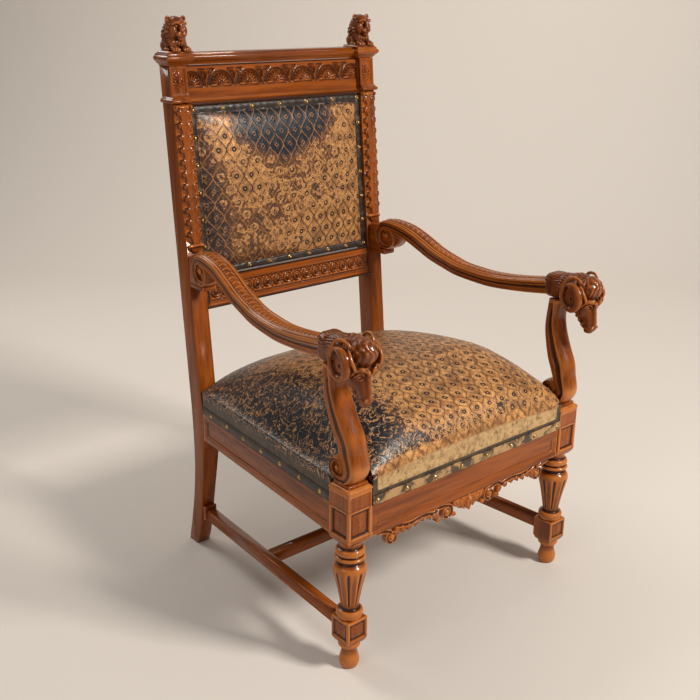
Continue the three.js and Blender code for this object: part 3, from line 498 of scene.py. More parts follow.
def closed_section(half, step):
    """A whole section from its right half, listed from the top centre to the bottom centre."""
    right = even_steps(half, step)
    left = right[-2:0:-1] * [-1, 1]
    return np.concatenate([right, left])


def unit(vectors):
    return vectors / np.maximum(np.linalg.norm(vectors, axis=-1, keepdims=True), 1e-9)


def swept(path, section, place):
    """Rings of a section carried along a curve in one upright plane."""
    way = unit(np.gradient(path[:, :2], axis=0))
    reach = section[None, :, 1] * path[:, 2:3] / 2
    across = np.broadcast_to(section[None, :, 0], reach.shape)
    return place(across, path[:, 0:1] + way[:, 1:2] * reach, path[:, 1:2] - way[:, 0:1] * reach)


def length_along(path):
    """The length of a polyline up to each of its points."""
    return np.concatenate([[0], np.cumsum(np.linalg.norm(np.diff(path, axis=0), axis=1))])


def ring_normals(rings):
    """Outward normals of rings that lie one behind the other."""
    du = np.roll(rings, -1, 1) - np.roll(rings, 1, 1)
    normal = unit(np.cross(du, np.gradient(rings, axis=0)))
    centre = rings.mean(1, keepdims=True)
    inward = np.einsum("ijk,ijk->ij", normal, rings - centre).mean() < 0
    return -normal if inward else normal


class Parts:
    """Several closed shapes that make up one piece."""

    def __init__(self):
        self.points, self.quads, self.tris, self.count = [], [], [], 0

    def add(self, points, quads, tris=()):
        points = np.asarray(points, float).reshape(-1, 3)
        quads = np.asarray(quads, int).reshape(-1, 4)
        tris = np.asarray(tris, int).reshape(-1, 3)
        corner = points[quads] if len(quads) else np.zeros((0, 4, 3))
        volume = np.einsum("ij,ij->", corner[:, 0], np.cross(corner[:, 1], corner[:, 2]))
        volume += np.einsum("ij,ij->", corner[:, 0], np.cross(corner[:, 2], corner[:, 3]))
        a, b, c = points[tris[:, 0]], points[tris[:, 1]], points[tris[:, 2]]
        volume += np.einsum("ij,ij->", a, np.cross(b, c))
        if volume < 0:
            quads, tris = quads[:, ::-1], tris[:, ::-1]
        self.points.append(points)
        self.quads.append(quads + self.count)
        self.tris.append(tris + self.count)
        self.count += len(points)

    def take(self, other, moved):
        """Takes over another's shapes, moved by a function."""
        start = 0
        for points, quads, tris in zip(other.points, other.quads, other.tris):
            self.add(moved(points), quads - start, tris - start)
            start += len(points)

    def loft(self, rings):
        """Rings of points, all of one count, joined side to side and closed at both ends."""
        rings = np.asarray(rings, float)
        rows, columns = rings.shape[:2]
        last = rows * columns
        points = np.concatenate([rings.reshape(-1, 3), [rings[0].mean(0), rings[-1].mean(0)]])
        caps = np.concatenate([fan(np.arange(columns), last, True),
                               fan(np.arange(last - columns, last), last + 1)])
        self.add(points, grid_quads(rows, columns, True), caps)

    def bar(self, x, y, z, round_off):
        """A bar with softened edges between two planes on each axis."""
        r = min(round_off, *((high - low) / 2.2 for low, high in (x, y, z)))
        levels = [(z[0], r), (z[0] + r * 0.13, r * 0.5), (z[0] + r * 0.5, r * 0.13), (z[0] + r, 0)]
        levels += [(z[0] + z[1] - level, inset) for level, inset in levels[::-1]]
        self.loft([round_rectangle(*x, *y, level, r, 30, inset) for level, inset in levels])

    def turned(self, rows, sides, centre, step, flute=None):
        """Rows of radius and height turned about an upright line."""
        rows = even_steps(rows, step)
        angle = (np.arange(sides) + 0.5) * 2 * np.pi / sides
        radius = np.broadcast_to(rows[:, :1], (len(rows), sides)).copy()
        if flute:
            radius -= flute(angle[None, :], rows[:, 1:2])
        self.loft(np.stack([centre[0] + radius * np.cos(angle), centre[1] + radius * np.sin(angle),
                            np.broadcast_to(rows[:, 1:2], radius.shape)], -1))

    def build(self, name, mirror=False, moved=None):
        points = np.concatenate(self.points)
        if moved:
            points = moved(points)
        quads, tris = np.concatenate(self.quads), np.concatenate(self.tris)
        if mirror:
            points = points * [-1, 1, 1]
            quads, tris = quads[:, ::-1], tris[:, ::-1]
        return make_mesh(name, points, quads, tris)


# ---- embossed leather --------------------------------------------------------------------
def side_x(y):
    """Outer face of the side rails, which run inwards to the back."""
    return 331.0 + (283.5 - 331.0) * np.clip((y + 268.4) / 516.0, 0, 1)


def seat_half(y):
    """Half width of the seat, which is notched round the front posts."""
    return np.where(y <= NOTCH_Y, LEG_X - POST_HALF - 2, side_x(y))


def seat_top(u, v):
    """Height of the domed seat at (u, v), each -1 to 1 across and along it."""
    t = np.where(v < SEAT_PEAK, (SEAT_PEAK - v) / (SEAT_PEAK + 1),
                 (v - SEAT_PEAK) / (1 - SEAT_PEAK))
    across = np.clip(1 - np.abs(u) ** 5.1, 0, 1) ** 1.48
    along = np.clip(1 - t ** 1.67, 0, 1) ** 0.55
    return SEAT_EDGE_Z + SEAT_CROWN * across * along


def seat_lattice(x, y):
    """The seat leather's own coordinates: cells across, and rows from front to back."""
    rows = np.array([-300, -285, -268, -249, -227, -205, -181, -155, -126, -91, -60], float)
    steps = np.arange(len(rows), dtype=float)
    row = np.interp(y, rows, steps)
    row = np.where(y > rows[-1], steps[-1] + (y - rows[-1]) / 33, row)
    row = np.where(y < rows[0], (y - rows[0]) / 15, row)
    arc = np.clip(-(y + 60) * 1.24, -400, 290)
    shear = np.where(arc > 150, 0.0031 * (arc - 150) ** 2, 0)
    return (x - shear - 8.0) / LATTICE_PITCH, row


def cell_distance(across, row, waist):
    """Distance outside the nearest cell's edge, and place in that cell. `waist` gives a cell's
    half width at a height in it, both in cells."""
    best = None
    for shift in (0, 1):
        dy = row - (2 * np.floor(row / 2 + 0.5 - shift / 2) + shift)
        dx = across - 0.5 * shift
        dx = dx - np.floor(dx + 0.5)
        item = (np.abs(dx) - waist(np.abs(dy)), dx, dy)
        if best is None:
            best = item
        else:
            nearer = item[0] < best[0]
            best = tuple(np.where(nearer, b, a) for a, b in zip(best, item))
    return best


def hexagon_waist(t):
    """Half width of the seat's cells at a height in them."""
    return 0.5 - 0.5 * smooth_step(0.12, 0.92, t)


def scale_waist(t):
    """Half width of the back's cells at a height in them."""
    return 0.5 * (0.2 * (1 - t) + 0.8 * (0.5 + 0.5 * np.cos(np.pi * np.clip(t, 0, 1))))


def emboss(across, row, waist):
    """Height of the pressed pattern, 0 to 1."""
    edge, dx, dy = cell_distance(across, row, waist)
    radius = np.hypot(dx, dy * 0.75)
    ridge = np.exp(-(edge / 0.06) ** 2)
    ring = np.exp(-((radius - 0.13) / 0.05) ** 2)
    bead = np.exp(-(radius / 0.06) ** 2)
    pillow = np.clip(-edge * 2.2, 0, 1) ** 0.7
    return 0.55 * ridge + 0.35 * ring + 0.4 * bead + 0.35 * pillow


def grid_normals(points):
    return unit(np.cross(np.gradient(points, axis=1), np.gradient(points, axis=0)))


def seat_leather():
    """The domed seat: pressed on top and down its front and sides, with a plain band below."""
    depth = SEAT_END_Y - SEAT_FRONT_Y
    # The line that the rows follow: up the front face, over the dome and down behind.
    along = np.linspace(SEAT_FRONT_Y, SEAT_REAR_Y, 4000)
    crest = seat_top(0, 2 * (along - SEAT_FRONT_Y) / depth - 1)
    over = even_steps(np.stack([along, crest], -1), 2.8)
    lift = np.linspace(0, 1, 22)[:-1]
    y = np.concatenate([np.full(len(lift), SEAT_FRONT_Y), over[:, 0]])[:, None]
    rise = np.concatenate([lift, np.ones(len(over))])[:, None]
    half = seat_half(y)
    # Columns: up one side, across the top, and down the other.
    wall = np.linspace(0, 1, 14)[:-1]
    u = np.linspace(-1, 1, 225)
    u = np.sign(u) * (1 - (1 - np.abs(u)) ** 1.25)
    crest = seat_top(u * (half / side_x(y)), 2 * (y - SEAT_FRONT_Y) / depth - 1)
    top = SEAT_BASE_Z + (crest - SEAT_BASE_Z) * rise
    edge_z = top[:, :1]
    left_z = SEAT_BASE_Z + (edge_z - SEAT_BASE_Z) * wall
    left = np.broadcast_to(-half, left_z.shape)
    x = np.concatenate([left, u * half, -left[:, ::-1]], 1)
    z = np.concatenate([left_z, top, left_z[:, ::-1]], 1)
    rows, columns = x.shape
    points = np.stack([x, np.broadcast_to(y, x.shape), z], -1)
    normal = grid_normals(points)
    if normal[rows // 2, columns // 2, 2] < 0:
        normal = -normal
    # The pattern runs on down the front and the sides.
    cell_u, cell_v = seat_lattice(points[..., 0], points[..., 1])
    fallen = np.where(rise < 1, np.pad(crest, ((0, 0), (len(wall), len(wall))), "edge") - z, 0)
    cell_v = cell_v - fallen / 15
    column = np.arange(columns)
    side = (column < len(wall)) * 1 - (column >= columns - len(wall))
    cell_u = cell_u - side * np.clip(edge_z - z, 0, None) / LATTICE_PITCH
    height = emboss(cell_u, cell_v, hexagon_waist) * smooth_step(404, 430, z)
    flat = (points + normal * (0.9 * height)[..., None]).reshape(-1, 3)
    first = np.arange(rows - 1) * columns
    under = np.stack([first, first + columns, first + 2 * columns - 1, first + columns - 1], -1)
    tail = np.arange((rows - 1) * columns, rows * columns)
    flat = np.concatenate([flat, flat[tail].mean(0, keepdims=True)])
    parts = Parts()
    parts.add(flat, np.concatenate([grid_quads(rows, columns), under]), fan(tail, len(flat) - 1))
    # The gilding: worn at the sides, behind and over the shoulder, and bright in front.
    x, y, z = flat.T
    side = np.maximum(0.84 * smooth_step(-110, -250, x + 0.12 * y),
                      0.35 * smooth_step(180, 310, x))
    rear = 0.85 * smooth_step(130, 235, y + 0.2 * np.abs(x))
    shoulder = smooth_step(-290, -308, y) * (0.42 + 0.3 * smooth_step(0, -200, x))
    gold = 0.84 - 0.84 * np.maximum(np.maximum(side, rear), shoulder)
    face = smooth_step(-318.5, -322, y)
    # Painted shade: the front band turns dark in the crease just above the nailed strip and at its
    # ends beside the front posts.
    band_clear_of_painted_shade = smooth_step(382, 388, z) * smooth_step(270, 255, np.abs(x))
    gold = gold * (1 - face) + face * (0.25 + 0.7 * band_clear_of_painted_shade)
    low_side = smooth_step(398, 392, z) * (1 - smooth_step(-316, -323, y))
    crown = 408 + 13 * (1 - (x / 278.0) ** 2)
    band = face * smooth_step(crown + 3, crown - 2, z) + low_side
    obj = parts.build("seat_leather")
    set_attributes(obj, cell_u=cell_u, cell_v=cell_v, gold=np.clip(gold, 0, 1),
                   band=np.clip(band, 0, 1))
    return obj


def back_point(points):
    """Points drawn on the raked back (x, in front of the stiles, along the back) in the drawing."""
    points = np.asarray(points, float)
    c, s = math.cos(RAKE), math.sin(RAKE)
    y, z = points[..., 1], points[..., 2]
    return np.stack([points[..., 0], RAKE_BASE_Y + y * c + z * s, RAKE_BASE_Z - y * s + z * c], -1)


def back_pad_leather():
    """The back's upholstery: pressed in front, plain and flat behind."""
    half = BETWEEN_STILES - TRIM_WIDE - 1
    z0, z1 = lean(PAD_LOW) + TRIM_WIDE + 1.3, lean(PAD_HIGH) - TRIM_WIDE - 1.3
    u, v = np.meshgrid(np.linspace(-1, 1, 176), np.linspace(-1, 1, 140))
    x, z = u * half, (z0 + z1) / 2 + v * (z1 - z0) / 2
    swell = (1 - np.abs(u) ** 3) * (1 - np.abs(v) ** 3)
    sheet = np.stack([x, 8 - 23 * np.clip(swell, 0, 1) ** 0.6, z], -1)
    normal = grid_normals(sheet)
    if normal[len(normal) // 2, 5, 1] > 0:
        normal = -normal
    world_z = back_point(sheet)[..., 2]
    cell_u = (x - 7) / LATTICE_PITCH
    cell_v = (world_z - 762.5) / LATTICE_ROW
    fade = smooth_step(0, 0.04, 1 - np.abs(x) / np.abs(x).max())
    sheet = sheet + normal * (0.8 * emboss(cell_u, cell_v, scale_waist) * fade)[..., None]
    parts = Parts()
    relief(parts, *np.moveaxis(sheet, -1, 0), PAD_BACK)
    # The gilding: a blue-black shield at the top, bright patches beside and below it.
    field = smooth_step(868, 935, world_z - 0.42 * np.abs(x + 10))
    field = field * smooth_step(165, 105, np.abs(x + 5))
    patch = bell((x + 150) / 42, 1) * bell((world_z - 950) / 52, 1)
    patch = np.maximum(patch, 0.8 * bell((x + 110) / 46, 1) * bell((world_z - 868) / 44, 1))
    lower = smooth_step(-60, 110, x) * smooth_step(830, 735, world_z)
    left = smooth_step(-140, -196, x) * smooth_step(950, 880, world_z)
    foot = smooth_step(712, 694, world_z)
    gold = 0.40 + 0.42 * patch + 0.40 * lower - 0.22 * left - 0.12 * foot
    gold = gold + 0.14 * smooth_step(90, 200, x) - 0.05 * smooth_step(0, -80, x)
    gold = gold * (1 - field) * (1 - 0.8 * smooth_step(1006, 1020, world_z))
    obj = parts.build("back_pad_leather", False, back_point)
    behind = np.ones(len(obj.data.vertices) - x.size)
    set_attributes(obj, cell_u=cell_u, cell_v=cell_v, gold=np.clip(gold, 0, 1),
                   band=np.append(np.zeros(x.size), behind))
    return obj


# ---- arms --------------------------------------------------------------------------------
ARM_BACK_X, ARM_FRONT_X, ARM_BACK_Y, ARM_FRONT_Y = 271.0, 322.0, 221.0, -262.0
ARM_EYE = (221.0, 699.0)
SUPPORT_EYE = (-284.0, 437.0)


def arm_place(across, y, z):
    """An arm spreads outwards towards the front, so its middle moves with y."""
    t = np.clip((ARM_BACK_Y - y) / (ARM_BACK_Y - ARM_FRONT_Y), None, 1)
    return np.stack(np.broadcast_arrays(ARM_BACK_X + (ARM_FRONT_X - ARM_BACK_X) * t + across, y, z),
                    -1)


def scroll_heart(parts, eye, place, sides, plate, button):
    """The sunk plate in a scroll and the button at its eye, from rows of radius and half
    thickness."""
    angle = circle(sides)
    for rows in ([plate], button):
        steps = [(r, -half) for r, half in rows[::-1]] + list(rows)
        parts.loft([place(half, eye[0] + r * np.cos(angle), eye[1] + r * np.sin(angle))
                    for r, half in steps])


def arm_parts():
    """An arm: its rear scroll, its ridged and fluted rail, and the block behind."""
    parts = Parts()
    curl = spiral(ARM_EYE, [[-390, 7, 6], [-345, 9, 7], [-300, 12, 7], [-255, 15.5, 8],
                            [-225, 20, 8.5], [-180, 26, 9.5], [-135, 30.5, 10.5], [-90, 34, 12],
                            [-45, 35, 13], [0, 36, 15], [45, 37, 19], [85, 37, 23]])
    run = [[178, 718, 27], [145, 707, 28], [112, 692, 28], [80, 677, 27], [40, 664, 26],
           [0, 653.5, 26], [-60, 647.5, 27], [-100, 646.5, 28], [-150, 650, 29],
           [-200, 656, 31], [-252, 664, 33]]
    path = even_steps(smooth_path(np.concatenate([curl, run])), 2.3)
    half = [(0, 16), (5, 15.8), (9, 15.2), (11.2, 14.2), (12.2, 12.4), (13.2, 14.2), (15, 15),
            (17, 14.8), (18.6, 13.6), (19.4, 12.0), (20.4, 12.9), (22.4, 12), (23.8, 9.8),
            (24, 7.6), (22.2, 6.2), (23.6, 4.6), (23.6, 2.8), (22, 1.6), (21.4, -0.8),
            (21.6, -3.2), (23, -4.4), (23, -6.0), (21.5, -7.0), (22.9, -8.2), (22.9, -9.6),
            (21.4, -10.6), (22.7, -11.8), (22, -13.6), (18, -14), (8, -14), (0, -14)]
    section = closed_section(np.array(half), 1.65) / [1, 14]
    rings = swept(path, section, arm_place)
    run_length = length_along(path[:, :2])[:, None]
    start = run_length[np.argmin(np.abs(path[:, 0] - ARM_EYE[0])
                                 + np.abs(path[:, 1] - ARM_EYE[1] - 34)), 0]
    across = section[None, :, 0]
    on_top = (section[None, :, 1] > 0.8) & (np.abs(across) < 11.6)
    place = (run_length - start + 40 - 0.035 * across ** 2 + 0.16 * across) / 15.0
    gap = (place - np.floor(place + 0.5)) * 15.0
    shown = smooth_step(start - 75, start - 60, run_length)
    ridge = np.exp(-(gap / 1.1) ** 2)
    swell = np.cos(np.clip(gap / 7.5, -1, 1) * np.pi / 2)
    tip = smooth_step(4, 10.5, np.abs(across))
    height = ridge * 1.0 - 1.7 * tip * np.exp(-((np.abs(gap) - 3.1) / 1.9) ** 2) + 0.5 * swell
    rings = rings + ring_normals(rings) * (height * on_top * shown)[..., None]
    parts.loft(rings)
    # The scroll's sunk sides, its eye, and the block that carries it.
    scroll_heart(parts, ARM_EYE, arm_place, 48, (31, 18.5), [(6.2, 20), (5.2, 22.8), (2, 23.6)])
    face = rake_y(ARM_EYE[1]) - 3.2
    parts.bar((ARM_BACK_X - 24, ARM_BACK_X + 12.7), (ARM_EYE[0] + 20, face), (661, 721), 1.5)
    parts.bar((ARM_BACK_X - 22, ARM_BACK_X + 13), (ARM_EYE[0] + 4, face - 1), (650, 663), 3.5)
    return parts


def support_parts():
    """The scrolled support under the front of an arm."""
    parts = Parts()
    stops = [[-270, 640, 25], [-268, 600, 26], [-271, 574, 31], [-280, 545, 36], [-291, 518, 41],
             [-303, 494, 42], [-310, 470, 37]]
    curl = spiral(SUPPORT_EYE, [[180, 49, 30], [225, 41, 22], [270, 32, 15.5], [315, 27.5, 12.5],
                                [360, 25.5, 11.5], [405, 24, 11], [450, 22, 10.5], [495, 18.5, 9],
                                [540, 14.5, 8], [600, 11, 6.5], [660, 8, 5]])
    path = even_steps(smooth_path(np.concatenate([stops, curl])), 2.6)
    half = [(0, 17), (7, 16.7), (13, 15.4), (18, 13.0), (22, 9.6), (24, 6.4), (24.4, 5.2),
            (22.8, 4.2), (21.6, 1.5), (21.3, -1.5), (21.9, -4.5), (23.0, -6.4), (24.3, -7.2),
            (24.4, -9.2), (23, -10.2), (24.2, -11.2), (24.3, -13.2), (22.8, -14.2), (23.6, -15.4),
            (22.6, -17), (15, -17), (0, -17)]
    section = closed_section(half, 1.7) / [1, 17]

    def place(across, y, z):
        lean_out = np.clip(z - 480, 0, None) * 0.07
        return np.stack(np.broadcast_arrays(LEG_X + across + lean_out, y, z), -1)

    rings = swept(path, section, place)
    height = length_along(path[:, :2])[:, None]
    fade = smooth_step(8, 34, height)
    hollow = (np.abs(section[None, :, 0]) > 20.5) & (np.abs(section[None, :, 1]) < 0.36)
    fill = (1 - fade) * 2.4 * hollow
    rings = rings + ring_normals(rings) * fill[..., None]
    parts.loft(rings)
    scroll_heart(parts, SUPPORT_EYE, place, 40, (19, 19.5), [(4.8, 21), (4, 23.6), (1.5, 24.2)])
    parts.bar((LEG_X - 23.4, LEG_X + 23.4), (LEG_Y - 22.5, LEG_Y + 22.5), (403.8, 409), 1.4)
    return parts


# ---- carved beasts: blended solids, meshed on a fine grid --------------------------------
class Clay:
    """A solid held as distances on a grid of points, built up from simple blended forms. Forms
    are drawn on the right, and `side` at -1 puts them on the left."""

    def __init__(self, low, high, step):
        self.low, self.step = np.asarray(low, float), step
        axes = [np.arange(a, b + step, step) for a, b in zip(low, high)]
        self.x, self.y, self.z = np.meshgrid(*axes, indexing="ij", sparse=True)
        self.shape = tuple(len(a) for a in axes)
        self.value = np.full(self.shape, 50.0)
        self.side = 1

    def gaps(self, place):
        """Distances from a place along each axis."""
        return self.x * self.side - place[0], self.y - place[1], self.z - place[2]

    def ball(self, centre, radii):
        """Distance to an ellipsoid."""
        gaps = self.gaps(centre)
        ratio = np.sqrt(sum((gap / r) ** 2 for gap, r in zip(gaps, radii)))
        slope = np.sqrt(sum((gap / r ** 2) ** 2 for gap, r in zip(gaps, radii)))
        return ratio * (ratio - 1) / np.maximum(slope, 1e-6)

    def rod(self, a, b, ra, rb):
        """Distance to a tapering rod with round ends."""
        a, b = np.asarray(a, float), np.asarray(b, float)
        d = b - a
        gaps = self.gaps(a)
        t = np.clip(sum(gap * k for gap, k in zip(gaps, d)) / (d @ d), 0, 1)
        return np.sqrt(sum((gap - t * k) ** 2 for gap, k in zip(gaps, d))) - (ra + (rb - ra) * t)

    def slab(self, centre, half, round_off):
        """Distance to a block with rounded edges."""
        q = [np.abs(gap) - h + round_off for gap, h in zip(self.gaps(centre), half)]
        out = np.sqrt(sum(np.maximum(a, 0) ** 2 for a in q))
        return out + np.minimum(np.maximum(np.maximum(q[0], q[1]), q[2]), 0) - round_off

    def strand(self, points, radii):
        """Distance to a smooth tapering curve."""
        path = smooth_path(np.column_stack([points, radii]), 5)
        found = np.full(self.shape, 50.0)
        for start, end in zip(path[:-1], path[1:]):
            found = np.minimum(found, self.rod(start[:3], end[:3], start[3], end[3]))
        return found

    def join(self, form, blend=3.0):
        h = np.clip(0.5 + 0.5 * (form - self.value) / blend, 0, 1)
        self.value = form * (1 - h) + self.value * h - blend * h * (1 - h)

    def dig(self, form, blend=1.5):
        h = np.clip(0.5 - 0.5 * (form + self.value) / blend, 0, 1)
        self.value = self.value * (1 - h) - form * h + blend * h * (1 - h)

    def both(self, form, blend, *shape, dig=False):
        """Adds or digs a form on both sides of the middle."""
        for self.side in (-1, 1):
            (self.dig if dig else self.join)(form(*shape), blend)

    def mesh(self):
        """One point in each grid cell that the surface crosses, joined into quads."""
        inside = self.value < 0
        nx, ny, nz = self.shape
        total = np.zeros((nx - 1, ny - 1, nz - 1, 3))
        count = np.zeros((nx - 1, ny - 1, nz - 1))
        index = np.stack(np.meshgrid(np.arange(nx), np.arange(ny), np.arange(nz),
                                     indexing="ij"), -1)
        crossings = []
        for axis in range(3):
            first = [slice(None)] * 3
            second = [slice(None)] * 3
            first[axis], second[axis] = slice(None, -1), slice(1, None)
            a, b = self.value[tuple(first)], self.value[tuple(second)]
            cross = inside[tuple(first)] != inside[tuple(second)]
            t = np.where(cross, a / np.where(cross, a - b, 1), 0)
            spot = index[tuple(first)].astype(float)
            spot[..., axis] += t
            others = [k for k in range(3) if k != axis]
            for o1 in (0, 1):
                for o2 in (0, 1):
                    part = [slice(None)] * 3
                    part[others[0]] = slice(o1, self.shape[others[0]] - 1 + o1)
                    part[others[1]] = slice(o2, self.shape[others[1]] - 1 + o2)
                    weight = cross[tuple(part)]
                    total += spot[tuple(part)] * weight[..., None]
                    count += weight
            crossings.append((cross, inside[tuple(first)]))
        active = count > 0
        number = np.cumsum(active.ravel()).reshape(active.shape) - 1
        points = total[active] / count[active][:, None] * self.step + self.low
        quads = []
        for axis, (cross, filled) in enumerate(crossings):
            others = [k for k in range(3) if k != axis]
            core = [slice(None)] * 3
            for k in others:
                core[k] = slice(1, self.shape[k] - 1)
            at = np.argwhere(cross[tuple(core)])
            for k in others:
                at[:, k] += 1
            full = filled[tuple(at.T)]
            corners = []
            for o1, o2 in ((-1, -1), (0, -1), (0, 0), (-1, 0)):
                cell = at.copy()
                cell[:, others[0]] += o1
                cell[:, others[1]] += o2
                corners.append(number[tuple(cell.T)])
            quad = np.stack(corners, -1)
            quad[full] = quad[full][:, ::-1]
            if axis == 1:
                quad = quad[:, ::-1]
            quads.append(quad)
        quads = np.concatenate(quads)
        return relax(points, quads), quads


def relax(points, quads, steps=2):
    """Moves each point towards the middle of its neighbours."""
    edges = np.concatenate([quads[:, [0, 1]], quads[:, [1, 2]], quads[:, [2, 3]],
                            quads[:, [3, 0]]])
    a, b = edges.T
    share = np.bincount(a, minlength=len(points)) + np.bincount(b, minlength=len(points))
    for _ in range(steps):
        moved = [np.bincount(a, points[b, k], len(points)) + np.bincount(b, points[a, k],
                                                                         len(points))
                 for k in range(3)]
        points = 0.5 * points + 0.5 * np.stack(moved, -1) / share[:, None]
    return points


def push_out(points, centre, height):
    """Moves points away from a centre."""
    return points + unit(points - np.array(centre)) * height[:, None]


def ram_head():
    """The ram's head at the end of an arm, drawn on the middle plane."""
    c = Clay((-47, -374, 574), (47, -230, 714), 1.6)
    # The collar of fleece, the skull and the woolly forelock.
    c.join(c.slab((0, -257, 668), (26, 20, 27), 16), 1)
    c.join(c.ball((0, -284, 668), (29, 32, 30)), 8)
    c.join(c.ball((0, -318, 676), (28, 34, 28)), 8)
    c.join(c.ball((0, -343, 677), (26.5, 27, 26)), 5)
    # The short face, its cheeks, jaw and muzzle.
    c.join(c.rod((0, -333, 652), (0, -350, 604), 21, 12.5), 4)
    c.both(c.ball, 4, (13, -334, 630), (9, 14, 18))
    c.join(c.rod((0, -318, 630), (0, -340, 594), 13, 9), 5)
    c.join(c.rod((0, -359, 640), (0, -362, 600), 4.6, 5.4), 4)
    c.join(c.ball((0, -353, 592), (12.5, 12.5, 10.5)), 3)
    c.join(c.ball((0, -348, 583), (9.5, 10.5, 5.6)), 1.6)
    c.both(c.ball, 1.6, (7, -362.5, 594), (4.6, 3.6, 4.2))
    c.both(c.ball, 0.8, (6.8, -366.4, 593), (2.2, 3.0, 2.4), dig=True)
    c.dig(c.rod((0, -367, 592), (0, -364.5, 585), 1.0, 0.8), 0.6)
    for c.side in (-1, 1):
        c.dig(c.strand([(1, -364, 585.5), (7, -361, 585), (12, -353, 586.5),
                        (14, -342, 592)], [1.0, 1.4, 1.4, 0.9]), 0.8)
        c.dig(c.ball((20, -357, 640), (7, 7, 6)), 3)
        c.join(c.ball((16, -350.5, 639), (5.2, 5.6, 4.8)), 0.7)
        c.join(c.strand([(9, -360, 638), (14, -359, 645), (20.5, -353.5, 643.5),
                         (23, -346, 636)], [1.2, 2.0, 2.0, 1.2]), 0.8)
        c.join(c.strand([(10.5, -358.5, 635.5), (16, -356.5, 632.6),
                         (22, -349, 634.5)], [0.9, 1.4, 0.9]), 0.8)
        # The frowning brow, which meets over the nose.
        c.join(c.strand([(2, -363.5, 642), (8, -366, 650), (16, -363, 654),
                         (24, -353, 651), (27, -344, 641)],
                        [3.2, 4.4, 4.6, 3.8, 2.0]), 1.6)
        # The ear: a broad folded crescent between brow and horn.
        c.join(c.strand([(26, -336, 686), (32, -345, 681), (34, -353, 670),
                         (31, -357, 659), (27, -355, 650)],
                        [2.2, 3.2, 3.6, 3.2, 1.6]), 0.9)
        c.dig(c.strand([(33, -340, 677), (34.5, -346, 669), (32, -349, 659)],
                       [2.0, 2.8, 1.6]), 1.0)
        for k in range(5):
            z = 632 - 9.0 * k
            y = -312 - 6.0 * k
            c.join(c.strand([(18 - 1.8 * k, y - 7, z + 7), (18 - 2.0 * k, y, z + 1),
                             (14 - 1.8 * k, y, z - 4)], [2.0, 3.0, 1.4]), 2.2)
    # A hollow behind each horn's rim, a plate in its curl, and the horn itself.
    c.both(c.ball, 3, (41, -325, 666), (10, 27, 33), dig=True)
    c.both(c.ball, 2, (32, -322, 656), (6, 19, 22))
    for c.side in (-1, 1):
        stops = [(138, 33, 22, 2.4), (118, 37, 27, 2.8), (95, 41, 31, 3.1), (68, 41, 34, 3.3),
                 (38, 37, 36, 3.5), (8, 34, 37, 4.0), (-25, 33, 37.5, 4.8), (-60, 33.5, 38, 5.6),
                 (-95, 33.5, 38, 6.4), (-130, 32, 38, 7.2), (-165, 29.5, 38, 8.0),
                 (-198, 27.5, 38, 8.2), (-230, 27, 38, 7.8), (-258, 27.5, 38.5, 6.8),
                 (-280, 28.5, 39, 5.2), (-298, 29.5, 39.5, 3.2), (-308, 30, 40, 1.4)]
        degrees, reach, across, radius = np.array(stops).T
        angle, middle = np.radians(degrees), reach - radius
        path = smooth_path(np.stack([across, -325 + middle * np.cos(angle) * 0.92,
                                     661 + middle * np.sin(angle) * 1.06, radius], -1), 7)
        horn = np.full(c.shape, 50.0)
        run = length_along(path[:, :3])
        for i in range(len(path) - 1):
            middle = (run[i] + run[i + 1]) / 2
            swell = 0.5 * math.sin(middle * 2 * math.pi / 5.0) * (middle < 205)
            horn = np.minimum(horn, c.rod(path[i, :3], path[i + 1, :3], path[i, 3] + swell,
                                          path[i + 1, 3] + swell))
        c.join(horn, 0.7)
        c.dig(c.ball((39, -323, 655), (6, 3.2, 4.2)), 0.8)
        c.dig(c.strand([(39, -322, 659), (39, -318, 668), (39, -315, 675)],
                       [2.0, 1.4, 0.6]), 0.8)
    points, quads = c.mesh()
    # Wool: locks over the brow, leaf-shaped ones behind them, and long waves on the collar.
    x, y, z = points.T
    face = smooth_step(655, 648, z) * smooth_step(-312, -324, y)
    horn_zone = smooth_step(27.5, 30, np.abs(x)) * smooth_step(-288, -294, y)
    wool = (1 - face) * (1 - horn_zone)
    round_back = np.arctan2(z - 655, np.abs(x) + 4)
    collar_phase = round_back * 44 + 1.9 * np.sin(y * 0.17 + round_back * 3)
    crown = np.arctan2(x, -(y + 312))
    from_crown = np.hypot(x, y + 312) + 0.7 * np.clip(690 - z, 0, None)
    lock_phase = crown * 27 + 2.4 * np.sin(from_crown * 0.21 + 4 * crown)
    behind = smooth_step(-312, -300, y)
    phase = np.where(behind > 0.5, collar_phase, lock_phase)
    chevron = (np.abs(x) * 0.8 + y) / 13
    leaf = (chevron - np.floor(chevron)) * smooth_step(-330, -318, y)
    leaf = leaf * smooth_step(-278, -288, y) * smooth_step(660, 675, z)
    tuft = np.sin(from_crown * 0.42 + np.cos(crown * 5) * 1.4) * (1 - behind)
    height = wool * (0.55 * np.sin(phase) + 1.5 * leaf + 0.6 * tuft)
    points = push_out(points, (0, -310, 662), height)
    parts = Parts()
    parts.add(arm_place(points[:, 0], points[:, 1], points[:, 2]), quads)
    parts.hair = (phase, wool * 0.9)
    return parts


LION_PLACE = (256.0, 338.0, 1143.5)


